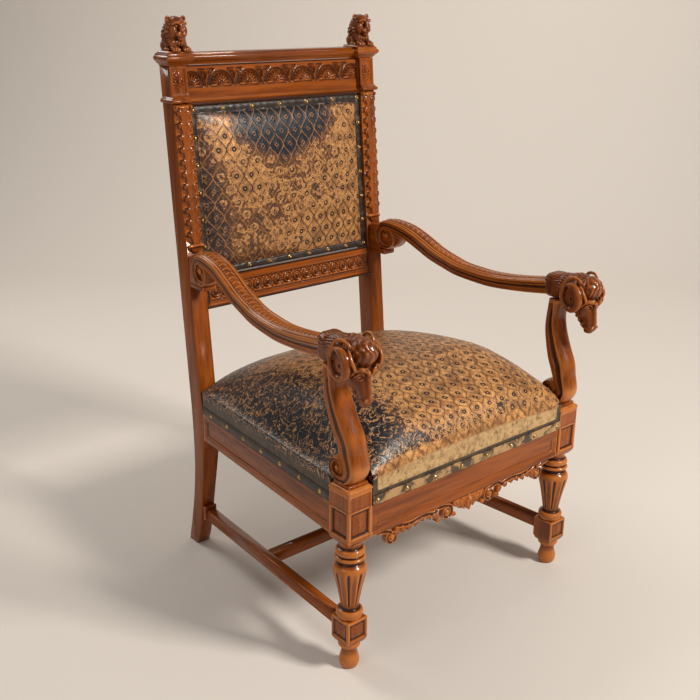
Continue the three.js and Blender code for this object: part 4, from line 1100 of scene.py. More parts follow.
def lion():
    """A couching lion: a broad maned head over short forelegs with the paws forward."""
    c = Clay((-34, -34, -1), (34, 27, 80), 1.15)
    c.join(c.slab((0, 0, 1.2), (31.5, 23.8, 1.8), 0.8), 0.5)
    c.join(c.slab((0, 0, 3.2), (29.5, 22.2, 1.6), 1.0), 0.5)
    c.join(c.ball((0, 8, 22), (21, 14.5, 24)), 3)
    c.both(c.ball, 2, (19, 8, 15), (9.5, 14, 13))
    for c.side in (-1, 1):
        c.join(c.rod((15, -3, 26), (13.5, -14, 12), 8.5, 6.6), 1.6)
        c.join(c.ball((13, -20, 9), (9.2, 9.5, 6.4)), 1.2)
        for k in range(4):
            toe = 13 + c.side * (k - 1.5) * 4.4
            c.join(c.ball((toe, -27.6 + 0.8 * abs(k - 1.5) ** 2, 7.2), (2.6, 4.2, 4.4)), 0.4)
        c.join(c.ball((23, -4, 7), (6, 9, 5)), 1)
    c.join(c.ball((0, 0, 47), (25.5, 19, 27)), 3)
    # Locks of the mane lie close round the head and fall beside the forelegs.
    for c.side in (-1, 1):
        for k in range(9):
            angle = math.radians(-78 + k * 19)
            u, w = math.cos(angle), math.sin(angle)
            c.join(c.strand([(u * 18, -12, 46 + w * 20), (u * 22.5, -6.5, 44 + w * 24),
                             (u * 24.5, 1.5, 41 + w * 25)], [2.2, 3.6, 1.4]), 1.2)
            c.join(c.strand([(u * 23, 1, 40 + w * 23), (u * 25, 8, 36 + w * 24),
                             (u * 22, 16, 31 + w * 22)], [3.0, 3.4, 1.2]), 1.2)
        for k in range(3):
            c.join(c.strand([(3 + 5.5 * k, -16 + 1.5 * k, 28),
                             (3.4 + 5 * k, -20 + 2.2 * k, 21),
                             (2 + 4.6 * k, -18 + 2.2 * k, 13)], [2.2, 3.2, 0.9]), 0.8)
    # The face: forehead, cheeks, muzzle in two lobes, broad nose and chin.
    c.join(c.ball((0, -10, 58), (17.5, 13, 15)), 2)
    c.both(c.ball, 2, (11.5, -13, 44), (10, 10, 15))
    c.join(c.rod((0, -23, 62), (0, -28.3, 46), 4.4, 5.0), 2)
    c.join(c.ball((0, -23, 35), (9, 6.5, 8)), 1.2)
    c.both(c.ball, 0.8, (5.8, -25.6, 38.5), (7.0, 6.0, 6.2))
    c.join(c.ball((0, -30.2, 45.4), (6.0, 2.8, 3.4)), 0.7)
    c.join(c.ball((0, -25, 29), (6.6, 4.6, 4.0)), 0.9)
    c.dig(c.rod((0, -31.6, 34), (0, -32.2, 42), 1.1, 1.0), 0.5)
    c.dig(c.strand([(-11.5, -25.5, 35.6), (-5.5, -29.6, 32.4), (0, -30.6, 34.2),
                    (5.5, -29.6, 32.4), (11.5, -25.5, 35.6)], [1.0, 1.3, 1.1, 1.3, 1.0]), 0.5)
    c.both(c.ball, 0.5, (2.9, -32.8, 44.8), (1.4, 1.8, 1.1), dig=True)
    for c.side in (-1, 1):
        c.dig(c.ball((9.0, -26.8, 55.0), (5.0, 5.8, 3.9)), 1.2)
        c.join(c.ball((8.7, -21.6, 54.6), (3.3, 3.0, 2.5)), 0.3)
        c.join(c.strand([(2.2, -26.4, 58.4), (9, -26.6, 61.6),
                         (16.5, -20.5, 57.6)], [2.8, 3.2, 1.8]), 0.8)
        c.dig(c.strand([(5, -30, 45.5), (11, -25.5, 41),
                        (16, -19.5, 35)], [0.9, 1.3, 0.9]), 0.6)
        c.join(c.ball((18.5, -4.5, 68.5), (6.4, 4.4, 6.8)), 1.2)
        c.dig(c.ball((19.2, -9.8, 69), (3.9, 4.4, 4.2)), 0.8)
    c.join(c.rod((6, 20, 6), (-14, 19, 7), 2.6, 2.2), 1)
    points, quads = c.mesh()
    x, y, z = points.T
    angle = np.arctan2(z - 46, x)
    radius = np.hypot(x, z - 46)
    mane = smooth_step(-13, -7, y) * smooth_step(17, 21, radius) * smooth_step(14, 22, z)
    mane = np.maximum(mane, smooth_step(-2, 6, y) * smooth_step(14, 22, z))
    mane = np.maximum(mane, smooth_step(30, 26, z) * smooth_step(11, 15, z)
                      * smooth_step(14, 11, np.abs(x)))
    mane *= 1 - smooth_step(62, 66, z) * smooth_step(12, 14, np.abs(x)) * smooth_step(2, -2, y)
    waves = np.sin(angle * 26 + 1.4 * np.sin(y * 0.55 + radius * 0.3) + y * 0.25)
    points = push_out(points, (0, 2, 43), 0.5 * mane * waves)
    points[:, 2] = np.clip(points[:, 2], 0.05, 76.9)
    parts = Parts()
    parts.add(points + LION_PLACE, quads)
    parts.hair = (angle * 52 + 2.8 * np.sin(y * 0.55 + radius * 0.3) + y * 0.5, mane)
    return parts


# ---- carving on the raked back -----------------------------------------------------------
# These pieces are drawn upright, with y = 0 at the front of the stiles and z the height along
# the rake, and back_point leans them back.
FRIEZE_DEPTH, ARCH_PITCH, ARCH_RADIUS = 12.0, 75.0, 34.0
PILASTER_X, PILASTER_HALF, LEAF_PAIRS = 262.0, 21.5, 11


def relief(parts, x, y, z, back_y):
    """A carved front sheet closed with straight edges and a flat back."""
    front = np.stack([x, y, z], -1)
    rows, columns = x.shape
    index = np.arange(rows * columns).reshape(rows, columns)
    rim = np.concatenate([index[0, :-1], index[:-1, -1], index[-1, :0:-1], index[:0:-1, 0]])
    flat = front.reshape(-1, 3)
    behind = flat[rim].copy()
    behind[:, 1] = back_y
    inset = behind.copy()
    for axis in (0, 2):
        low, high = behind[:, axis].min(), behind[:, axis].max()
        inset[:, axis] = np.clip(behind[:, axis], low + 2.0, high - 2.0)
    start, count = rows * columns, len(rim)
    number = start + np.arange(count)
    after = np.roll(np.arange(count), -1)
    walls = np.stack([rim, number, number[after], rim[after]], -1)
    border = np.stack([number, number + count, number[after] + count, number[after]], -1)
    points = np.concatenate([flat, behind, inset, inset.mean(0, keepdims=True)])
    quads = np.concatenate([grid_quads(rows, columns), walls[:, ::-1], border[:, ::-1]])
    parts.add(points, quads, fan(number + count, start + 2 * count))


def dome(r, radius):
    """Height of a round dome at a distance from its centre, 1 in the middle."""
    return np.sqrt(np.clip(1 - (r / radius) ** 2, 0, 1))


def bell(x, width):
    """1 where x is 0, falling off smoothly on both sides."""
    return np.exp(-(x / width) ** 2)


def frieze_face(x, z, low, high):
    """How far back the frieze's carved face lies at (x, z)."""
    springing = low + 33
    high = high - 3.2
    rows = [(-8, 9), (-7.4, 5.5), (-6.4, 2.6), (-4.6, 1.0), (-2.4, 0.6), (-0.4, 1.5), (0.8, 3.6),
            (1.1, 6), (2.0, 6.4), (2.6, 8.4), (4.6, 10.6), (7, 11.4), (31.8, 11.4),
            (32.6, 12.2), (33.2, 18)]
    offset, depth = np.array(rows).T
    base = np.interp(z - low, offset, depth)
    base = np.where(z > high - 7, 11.0, base)
    field = (z > springing) & (z < high - 7)
    middle = np.round(x / ARCH_PITCH) * ARCH_PITCH
    dx, dz = x - middle, z - springing
    oval = np.hypot(dx / ARCH_RADIUS, dz / (ARCH_RADIUS + 3)) * ARCH_RADIUS
    ground = np.full_like(x, 21.0)
    # The shell: nine petals with a scalloped rim.
    turn = np.arctan2(dz - 2, dx) / np.pi * 9
    petal = turn - np.floor(turn) - 0.5
    reach = np.hypot(dx, dz - 2)
    rim = 24.6 - 2.8 * (2 * petal) ** 2
    fluted = 17.6 - 5.0 * np.cos(np.pi * petal) ** 0.7 * np.clip(reach / 22, 0.15, 1) ** 0.7
    fluted += 3.0 * bell(np.abs(petal) - 0.5, 0.09)
    fluted += 2.5 * smooth_step(rim - 1.4, rim, reach)
    ground = np.where((reach < rim) & (dz > 1.2), fluted, ground)
    eye = np.hypot(dx, dz - 5)
    ground = np.where(eye < 7.6, 12.6 + 2 * ((eye - 6) / 1.6) ** 2, ground)
    ground = np.where(eye < 4.9, 19.5, ground)
    ground = np.where(eye < 3.9, 17.0 - 4.8 * dome(eye, 3.95), ground)
    # The arch round it.
    band = (oval - 30.9) / 4.3
    ground = np.where(np.abs(band) < 1, 10.9 + 1.4 * np.abs(band) ** 5, ground)
    # Leaves that hang between two arches.
    side = ARCH_PITCH / 2 - np.abs(dx)
    top = high - 7
    t = np.clip((z - (springing + 12)) / (top - springing - 12), 0, 1)
    half = 6.6 * t ** 0.75
    outside = oval > 36.4
    leaf = 12.6 + 2.6 * (side / np.maximum(half, 0.1)) ** 2 + 1.2 * bell(side, 0.8)
    ground = np.where(outside & (side < half) & (t > 0), leaf, ground)
    wedge = (side - half - 1.8) / 10
    tilt = z - top + 11 - 5 * np.abs(wedge - 0.6)
    wing = outside & (wedge > 0) & (tilt > 0) & (np.abs(wedge - 0.62) > 0.09)
    ground = np.where(wing, 13.2 + 2.0 * np.clip(wedge - 0.2, 0, 1), ground)
    return np.where(field, ground, base)


def frieze_parts():
    """The arcaded frieze of shells."""
    parts = Parts()
    low, high = lean(FRIEZE_LOW), lean(BACK_TOP) + 0.7
    x, z = np.meshgrid(np.linspace(-BETWEEN_STILES, BETWEEN_STILES, 401),
                       np.linspace(low - 7.9, high, 80))
    y = frieze_face(x, z, low, high)
    relief(parts, x, y, z, FRIEZE_BACK)
    return parts


def lower_rail_parts():
    """The back's lower rail with its row of bosses in rings."""
    parts = Parts()
    low, high = lean(LOWER_RAIL_LOW), lean(LOWER_RAIL_HIGH)
    middle = low + 36
    x, z = np.meshgrid(np.linspace(-BETWEEN_STILES, BETWEEN_STILES, 341),
                       np.linspace(low, high, 57))
    rows = [(0, 3), (0.8, -2), (2.4, -5.4), (4.2, -6), (6.2, -5.2), (7.4, -2.8), (7.8, -1.4),
            (9.2, -1.2), (9.8, -0.5), (14, -0.5), (60, -0.5), (80, -0.5)]
    offset, depth = np.array(rows, float).T
    y = np.interp(z - low, offset, depth)
    y += 1.5 * bell(np.abs(z - middle) - 18.6, 0.7) * (np.abs(x) < 236)
    field = (np.abs(z - middle) < 15.5) & (np.abs(x) < 234.2)
    slot = x / 28.9 + 0.5
    dx = (slot - np.round(slot)) * 28.9
    r = np.hypot(dx, z - middle)
    sunk = np.full_like(x, 6.0)
    corner = np.abs(np.abs(dx) - 14.45)
    filler = bell(corner, 2.6) * smooth_step(8.0, 10.5, np.abs(z - middle))
    sunk -= 4.0 * filler
    sunk = np.where(r < 13.6, 5.5 - 4.4 * dome(r - 11.5, 2.2), sunk)
    sunk = np.where(r < 9.4, 6.4, sunk)
    sunk = np.where(r < 8.6, 5.0 - 6.6 * dome(r, 8.7), sunk)
    y = np.where(field, sunk, y)
    relief(parts, x, y, z, LOWER_RAIL_BACK)
    return parts


def acanthus(x, z, low, high):
    """How far the pilaster's pairs of leaves stand out: each starts beside the middle, rises and
    turns outwards, and its round tip curls forward over the leaf above."""
    pitch = (high - low - 30) / (LEAF_PAIRS - 1)
    t = np.linspace(0, 1, 18)
    turn = t * np.pi / 2
    path_x = 3.4 + 11.4 * (1 - np.cos(turn)) ** 0.9
    path_z = 25 * np.sin(turn) - 3.5 * t ** 4
    wide = 3.0 + 5.0 * np.sin(np.pi * (0.12 + 0.62 * t))
    rise = 1.6 + 4.4 * np.sin(np.pi * (0.05 + 0.75 * t))
    out = np.full_like(x, 0.6)
    reach = np.abs(x)
    for k in range(LEAF_PAIRS + 1)[::-1]:
        dx = reach[..., None] - path_x
        dz = z[..., None] - (low + 1 + k * pitch + path_z)
        away = np.hypot(dx, dz) / wide
        nearest = away.argmin(-1)
        q = np.take_along_axis(away, nearest[..., None], -1)[..., 0]
        along = t[nearest]
        leaf = rise[nearest] * (0.30 + 0.70 * np.clip(1 - q ** 2.6, 0, 1) ** 0.5)
        leaf -= 1.1 * bell(q, 0.16) * smooth_step(0.95, 0.6, along)
        leaf -= 0.5 * bell(np.abs(q - 0.5), 0.09) * smooth_step(1.0, 0.6, along)
        out = np.where((q < 1) & (leaf > out), leaf, out)
    return out


def cross_bead(parts, x, radius, centre, squash, sides):
    """A bead turned about a line across the back, of changing radius."""
    angle = circle(sides)
    ring = [np.broadcast_to(x[:, None], (len(x), sides))]
    ring += [c + radius[:, None] * wave * share
             for c, wave, share in zip(centre, (np.cos(angle), np.sin(angle)), squash)]
    parts.loft(np.stack(ring, -1))


def pilaster_parts():
    """A strip of leaves in pairs between its beads and its bracket."""
    parts = Parts()
    low, high = lean(PILASTER_LOW), lean(PILASTER_HIGH)
    u, z = np.meshgrid(np.linspace(-1, 1, 49), np.arange(low - 1, high + 0.6, 1.1))
    half = (PILASTER_HALF - 0.4) * np.clip(np.sqrt(np.clip((z - low + 1.5) / 10, 0.15, 1)), 0, 1)
    x = u * half
    out = acanthus(x, z, low, high)
    out = np.where(z > high - 3, np.maximum(out, 2.5), out)
    spine = 7.4 * np.clip(1 - (x / 2.9) ** 2, 0, 1) ** 0.5 - 2.4 * bell(x, 0.8)
    body = 4.8 * np.clip(1 - np.abs(u) ** 3.4, 0, 1) ** 0.5
    y = -np.maximum(np.maximum(out + body * np.where(out > 0.61, 1, 0.25), spine * 0.9), 0.3)
    y = np.where(np.abs(u) > 0.985, -0.3, y)
    relief(parts, x, y, z, PILASTER_BACK)
    # Bead, spindle and bead above; ring and leafy bracket below.
    t = np.linspace(-1, 1, 21)
    for middle, half, blunt in ((-17.75, 3.55, 1.0), (0, 12.8, 0.45), (17.75, 3.55, 1.0)):
        cross_bead(parts, middle + t * half, 4.6 * dome(t, 1.001) ** blunt + 0.05,
                   (-5.6, high + 4.2), (1.05, 0.86), 20)
    parts.bar((-21.3, 21.3), (-4.5, -0.2), (high - 0.5, high + 8), 0.8)
    t = np.linspace(-1, 1, 15)
    cross_bead(parts, t * 19.8, 4.3 * np.clip(1 - np.abs(t) ** 8, 0.02, 1) ** 0.5,
               (-4.8, low - 3), (1, 0.92), 24)
    u, z = np.meshgrid(np.linspace(-1, 1, 37), np.linspace(low - 20, low - 6, 16))
    t = (z - low + 20) / 14
    half = 7.5 + 10.8 * smooth_step(0, 1, t) + 1.2 * np.cos(u * 3 * np.pi) * (1 - t)
    lobes = np.abs(np.cos(u * 2.5 * np.pi)) ** 0.6
    y = -2.5 - 5.5 * t - 2.2 * lobes * np.clip(1 - np.abs(u) ** 4, 0, 1)
    y = np.where(np.abs(u) > 0.98, -0.3, y)
    relief(parts, u * half, y, z + 1.6 * (1 - lobes) * (1 - t), PILASTER_BACK)
    for points in parts.points:
        points[:, 0] += PILASTER_X
    return parts


# A stile's height, inner face, front and back.
STILE_ROWS = [
    [0.2, 251, 295, 331], [15, 251, 289.5, 327.5], [30, 251, 284, 324], [50, 251, 278.6, 318.6],
    [72, 251, 274, 314], [100, 250.3, 269.3, 307.5], [129, 249.5, 265.5, 302.5],
    [170, 247.5, 260, 297], [212, 245, 255, 293], [262, 241.5, 250.5, 292],
    [316, 241.5, 248, 293.5], [370, 241.5, 249, 296.5], [409, 241.5, 255, 300],
    [1048, 241.5, 312.99, 354.9], [1050, 241.5, 319.2, 355], [1118.3, 241.5, 325.4, 361]]


def stile_parts():
    """A rear post with its collar and its carved panel."""
    parts = Parts()
    parts.loft([round_rectangle(inner, STILE_OUTER, front, back, z, 1.6, 30)
                for z, inner, front, back in STILE_ROWS])
    # The collar that carries the frieze's moulding round the stile.
    front = rake_y(1048) - 3
    rows = [(0.2, 1042), (3, 1042.4), (5.2, 1044), (6, 1046.4), (5.4, 1048.8), (3.8, 1050.4),
            (3.2, 1050.8), (3.0, 1052), (0.8, 1053), (0.3, 1055)]
    parts.loft([round_rectangle(STILE_INNER + 0.1, STILE_OUTER + out, front - out,
                                353 + out * 0.3, z, 1.5) for out, z in rows])
    # The sunk panel above the collar, with leaves up and down and a beaded middle.
    face = Parts()
    low, high = lean(1050.5), lean(BACK_TOP) - 0.6
    x, z = np.meshgrid(np.linspace(241.6, 283.9, 54), np.linspace(low, high, 76))
    cx, cz = 262.7, lean(1087.5)
    dx, dz = x - cx, z - cz
    inside = (np.abs(dx) < 15) & (np.abs(dz) < 24.5)
    ground = np.full_like(x, 3.8)
    reach = np.hypot(dx, dz)
    turn = np.degrees(np.arctan2(np.abs(dx), np.abs(dz)))
    for lobe, length, width in ((0, 22.5, 15), (27, 19, 12), (54, 14.5, 12)):
        off = np.abs(turn - lobe) / width
        reached = np.clip(reach / length, 0, 1)
        shape = np.clip(1 - off ** 2, 0, 1) * np.clip(np.sin(np.pi * reached ** 0.8), 0, 1) ** 0.6
        ground = np.minimum(ground, 3.8 - 4.6 * shape ** 0.7 + 1.0 * bell(off, 0.12))
    ground = np.where(reach < 5.4, 3.6, ground)
    ground = np.where(reach < 4.6, 2.6 - 5.6 * dome(reach, 4.7), ground)
    for side in (-1, 1):
        bead = np.hypot(dx - side * 9.2, dz)
        ground = np.where(bead < 2.9, 2.8 - 3.4 * dome(bead, 3.0), ground)
    y = np.where(inside, ground, -0.05)
    y += 0.9 * bell(np.maximum(np.abs(dx) - 15, np.abs(dz) - 24.5) - 2.2, 0.6)
    relief(face, x, y, z, 8)
    parts.take(face, back_point)
    return parts


def cornice_parts():
    """The cornice: a middle length between two that stand forward on the stiles."""
    parts = Parts()
    front = rake_y(BACK_TOP)
    rows = [(0.6, 1118.7), (1.4, 1120.2), (1.6, 1121.6), (3.0, 1122.4), (4.6, 1124),
            (5.2, 1126.2), (7.4, 1126.9), (8.4, 1128.2), (8.8, 1129.2), (10.2, 1130.2),
            (11.0, 1132.4), (11.0, 1134.8), (10.2, 1137), (8.8, 1138.4), (7.0, 1139.2),
            (6.8, 1140.2), (6.8, 1142.2), (6.2, 1143), (5.0, 1143.3)]

    def bar(x0, x1, face, back, turned):
        """One length of the moulding; where `turned` is 1 it runs round the ends too."""
        parts.loft([round_rectangle(x0 - out * turned, x1 + out * turned, face - out,
                                    back + min(out, 4), z, 0.9) for out, z in rows])

    bar(-243.5, 243.5, front + FRIEZE_DEPTH, 360, 0)
    for side in (-1, 1):
        bar(*sorted((side * 238.5, side * STILE_OUTER)), front, 361, 1)
    return parts


# ---- legs, rails and stretchers ----------------------------------------------------------
def square_tower(parts, centre, rows, depth, count, step=1.6):
    """A square post whose half width changes with height; `depth(face, u, z)` sinks panels into
    its four faces, which are numbered from the front towards the outside."""
    rows = even_steps(rows, step)
    half, z = rows[:, 0], rows[:, 1]
    t = np.linspace(-1, 1, count, endpoint=False)
    corner = 0.97
    rings = []
    ways = [((0, -1), (1, 0)), ((1, 0), (0, 1)), ((0, 1), (-1, 0)), ((-1, 0), (0, -1))]
    for face, (out, along) in enumerate(ways):
        u = t[None, :] * half[:, None]
        soft = 0.9 * smooth_step(corner, 1.0, np.abs(t))[None, :]
        sink = depth(face, u, z[:, None]) if depth else 0 * u
        w = half[:, None] - sink - soft
        u = u * (1 - 0.02 * smooth_step(corner, 1.0, np.abs(t))[None, :])
        rings.append(np.stack([centre[0] + out[0] * w + along[0] * u,
                               centre[1] + out[1] * w + along[1] * u,
                               np.broadcast_to(z[:, None], u.shape)], -1))
    parts.loft(np.concatenate(rings, 1))


def pyramid_sink(u, z, middle, half_wide, half_high, depth):
    """A sunk panel that rises again to a low pyramid."""
    across, up = np.abs(u) / half_wide, np.abs(z - middle) / half_high
    far = np.maximum(across, up)
    rise = smooth_step(0.91, 0.98, far)
    sunk = depth * (0.02 + 0.86 * np.clip(far / 0.91, 0, 1)) * (far <= 0.91)
    sunk = np.where((far > 0.91) & (far < 1), depth * (1.05 - 0.6 * rise), sunk)
    line = 1.5 * bell((across - up) * half_wide, 0.9) * (far < 0.86) * smooth_step(0, 0.1, far)
    return sunk + line


def leg_parts():
    """A front leg: square post and cap, turned and fluted vase, lower block and foot."""
    parts = Parts()

    def panels(*size):
        """Panels in the front and outer faces."""
        return lambda face, u, z: pyramid_sink(u, z, *size) if face < 2 else 0 * u + 0 * z

    square_tower(parts, (LEG_X, LEG_Y), [(21, 281), (24, 284.5), (28.2, 291), (29.3, 294.5),
                                         (29.3, 360.4), (28.2, 361.5), (29.3, 362.6),
                                         (29.3, 394.4)],
                 panels(327.9, 22.6, 26.6, 5.2), 38)
    square_tower(parts, (LEG_X, LEG_Y), [(28.6, 393.5), (30, 394.6), (30.4, 396), (30.3, 398.6),
                                         (29.2, 399.4), (28.8, 400.2), (26.4, 402.6),
                                         (25.2, 403.3), (20, 403.5)], None, 10)
    rows = [(20, 292), (23.4, 284), (22.6, 279), (21.8, 274), (22.2, 271.4), (25, 270.2),
            (27.6, 268.4), (29, 265), (29.3, 261.8), (28.6, 258.4), (26.2, 256.2), (24.4, 255.2),
            (24.6, 253.8), (28.6, 252.8), (30.6, 250.6), (30.7, 248.2), (29.6, 246.4),
            (26.4, 245.2), (24.4, 243.4), (24, 241), (24.8, 238.8), (28.5, 235.4), (32, 231),
            (33.6, 225.5), (33.5, 219), (32.2, 211), (29.9, 202), (27, 190), (24, 176),
            (21, 160), (18.7, 147), (17.6, 140), (17.7, 136.6), (20, 135), (23.6, 134),
            (26, 132.2), (27, 128.4), (26.8, 122), (25.4, 118), (23, 115.6), (20, 112)]

    def flute(angle, z):
        turn = angle / (2 * np.pi) * 8
        off = np.abs(turn - np.round(turn))
        window = smooth_step(141, 150, z) * smooth_step(227, 216, z)
        width = 0.115 + 0.03 * smooth_step(160, 210, z)
        return (3.3 * np.clip(1 - (off / np.maximum(width * window ** 0.4, 1e-3)) ** 2, 0, 1)
                * window ** 0.7)

    parts.turned(rows, 96, (LEG_X, LEG_Y), 2.1, flute)
    square_tower(parts, (LEG_X, LEG_Y), [(18, 57), (20.5, 58.5), (24.2, 65), (25.5, 68.8),
                                         (25.5, 114.4), (24.8, 115), (20, 115.2)],
                 panels(91.85, 19.5, 17.5, 3.0), 32)
    foot = [(19, 66), (20.4, 61), (22.6, 56.4), (22.7, 52), (20.2, 48.4), (17, 45.6), (15.9, 41),
            (16, 35), (17.8, 28), (19.8, 21.5), (20.5, 16), (20, 10.5), (18.2, 4.5), (16.2, 0.8),
            (14.5, 0.1)]
    parts.turned(foot, 40, (LEG_X, LEG_Y), 2.2)
    return parts


def front_rail_parts():
    """The plain banded rail under the seat, with its long sunk panel and bead."""
    parts = Parts()
    half = LEG_X - POST_HALF - 0.3
    x = np.concatenate([np.linspace(-half, -half + 24, 22), np.linspace(-half + 28, half - 28, 30),
                        np.linspace(half - 24, half, 22)])
    z = np.linspace(RAIL_BOTTOM, RAIL_TOP, 84)
    x, z = np.meshgrid(x, z)
    rows = [(290, 1.2), (290.8, -1.4), (292, -2), (297, -2), (298.4, -1.2), (299, 0), (302, 0),
            (302.6, 1.2), (303.2, 0.2), (305, -0.3), (305.8, 1.0), (306.4, -0.1), (308.2, -0.2),
            (308.8, 1.4), (309.4, 2.2), (332, 2.2), (332.8, 0.6), (333.4, 1.1), (334, 0.0),
            (355.4, 0.0), (356.2, 0.7)]
    level, depth = np.array(rows).T
    y = np.interp(z, level, depth)
    plain = np.interp(z, [290, 290.8, 292, 297, 298.4, 299, 355.4, 356.2],
                      [1.2, -1.4, -2, -2, -1.2, 0, 0, 0.7])
    end = smooth_step(half - 17.4, half - 16.2, np.abs(x))
    line = 1.1 * bell(np.abs(x) - (half - 13.5), 0.6) * ((z > 303) & (z < 334))
    y = y * (1 - end) + plain * end + line
    relief(parts, x, y - 323, z, -297)
    return parts


def side_relief(parts, y, x, z, behind):
    """A relief on the chair's right side, its flat back `behind` the outer face of the rails."""
    flat = Parts()
    relief(flat, y, -x, z, -257.5)
    points = flat.points[0] * [1, -1, 1]
    points = points[:, [1, 0, 2]]
    points[y.size:, 0] = side_x(points[y.size:, 1]) - behind
    parts.add(points, flat.quads[0], flat.tris[0])


def side_rail_parts():
    """A side rail with its long sunk and beaded panel."""
    parts = Parts()
    y0, y1 = LEG_Y + POST_HALF + 0.3, 247.6
    y = np.concatenate([np.linspace(y0, y0 + 26, 24), np.linspace(y0 + 30, y1 - 30, 30),
                        np.linspace(y1 - 26, y1, 24)])
    z = np.linspace(RAIL_BOTTOM, RAIL_TOP, 84)
    y, z = np.meshgrid(y, z)
    rows = [(290, 1.0), (291, 0), (302, 0), (303, 1.0), (304, 0.2), (305.6, 0.2), (306.2, 1.2),
            (307, 0.3), (308.6, 0.3), (309.4, 2.6), (341, 2.6), (342, 1.4), (343, 0.3),
            (344.2, 0.3), (345, 1.1), (346, 0), (355.4, 0), (356.2, 0.8)]
    level, depth = np.array(rows).T
    sink = np.interp(z, level, depth)
    gap = np.minimum(y - y0, y1 - y)
    end = smooth_step(17.2, 15.6, gap)
    edge = np.interp(gap, [0, 11.4, 12.2, 13, 14.4, 15.2, 16], [0, 0, 1.1, 0.2, 0.2, 1.2, 0.3])
    inside = (z > 304) & (z < 346)
    sink = np.where(inside, np.maximum(sink * (1 - end), edge * (gap < 16)), sink * (1 - end)
                    * (z > 299) + np.interp(z, [290, 291, 355.4, 356.2], [1, 0, 0, 0.8])
                    * (z <= 299))
    side_relief(parts, y, side_x(y) - sink, z, 26)
    return parts


STRETCHER_X, STRETCHER_Y = (LEG_X - 1, (STILE_OUTER + 251) / 2 + 2), (LEG_Y + 25.5, 254.0)
STRETCHER_HALF = [(-11.2, 80), (11.2, 80), (12, 80.8), (12, 101), (11.4, 101.8), (11.4, 103),
                  (10.6, 104), (9.4, 106.2), (8, 107)]
STRETCHER = STRETCHER_HALF + [(-across, z) for across, z in STRETCHER_HALF[:1:-1]]


def side_stretcher_parts():
    """The bar from a front leg's lower block to the rear post."""
    parts = Parts()
    (x0, x1), (y0, y1) = STRETCHER_X, STRETCHER_Y
    parts.loft([[(x0 + (x1 - x0) * t + a, y0 + 0.3 + (y1 - y0 - 0.6) * t, z) for a, z in STRETCHER]
                for t in (0, 0.5, 1)])
    return parts


def cross_stretcher_parts():
    """The bar between the side stretchers, cut to their slope at each end."""
    parts = Parts()
    middle = 6.0
    slope = (STRETCHER_X[1] - STRETCHER_X[0]) / (STRETCHER_Y[1] - STRETCHER_Y[0])
    meet = STRETCHER_X[0] + slope * (middle - STRETCHER_Y[0]) - 12.3
    parts.loft([[(side * (meet + slope * a), middle + a, z) for a, z in STRETCHER]
                for side in (-1, 0, 1)])
    return parts


# ---- the pierced apron -------------------------------------------------------------------
APRON_FACE = -320.0


def scroll_band(parts, stops, step=2.2):
    """A carved strip of changing width in the plane of the apron, with a rounded back edge,
    a groove along its middle and a raised rim."""
    path = even_steps(smooth_path(stops, 12), step)
    half = [(-1, 12), (-1, 2.4), (-0.93, 0.9), (-0.78, 0.1), (-0.62, 0.0), (-0.48, 0.9),
            (-0.3, 2.0), (0, 2.4), (0.3, 2.0), (0.48, 0.9), (0.62, 0.0), (0.78, 0.1),
            (0.93, 0.9), (1, 2.4), (1, 12)]
    out, depth = np.array(half).T
    way = unit(np.gradient(path[:, :2], axis=0))
    reach = out[None, :] * path[:, 2:3] * 0.74
    rise = np.clip(path[:, 2:3] / 7, 0.4, 1.2)
    rings = np.stack([path[:, 0:1] + way[:, 1:2] * reach,
                      np.broadcast_to(APRON_FACE + depth[None, :] * np.where(depth < 10, rise, 1),
                                      reach.shape),
                      path[:, 1:2] - way[:, 0:1] * reach], -1)
    parts.loft(rings)


def curved_leaf(parts, x, z, degrees, length, width, bend, lift=0.0):
    """A pointed leaf with a curled tip and a groove down its middle."""
    t = np.linspace(0, 1, 15)[:, None]
    u = np.linspace(-1, 1, 13)[None, :]
    half = width / 2 * np.sin(np.pi * np.clip(t * 0.86 + 0.14, 0, 1)) ** 0.55 + 0.2
    half = half * (1 + 0.10 * np.cos(6 * np.pi * t))
    along = t * length
    aside = u * half + bend * length * t ** 2
    a = math.radians(degrees)
    front = APRON_FACE - lift + 1.2 + 3.8 * np.abs(u) ** 2.2 - 3.0 * np.sin(np.pi * t * 0.8 + 0.3)
    front = front + 1.7 * bell(u, 0.16)
    top = np.stack([x + along * math.cos(a) - aside * math.sin(a) + 0 * u,
                    front + 0 * t, z + along * math.sin(a) + aside * math.cos(a)], -1)
    bottom = top.copy()
    bottom[..., 1] = APRON_FACE + 12
    rings = np.concatenate([top, bottom[:, ::-1]], 1)
    parts.loft(rings)


def boss(parts, x, z, sides, rows):
    """A round knob on the apron, from rows of radius and depth behind its face."""
    angle = circle(sides)
    parts.loft([np.stack([x + radius * np.cos(angle), 0 * angle + APRON_FACE + depth,
                          z + radius * np.sin(angle)], -1) for radius, depth in rows])


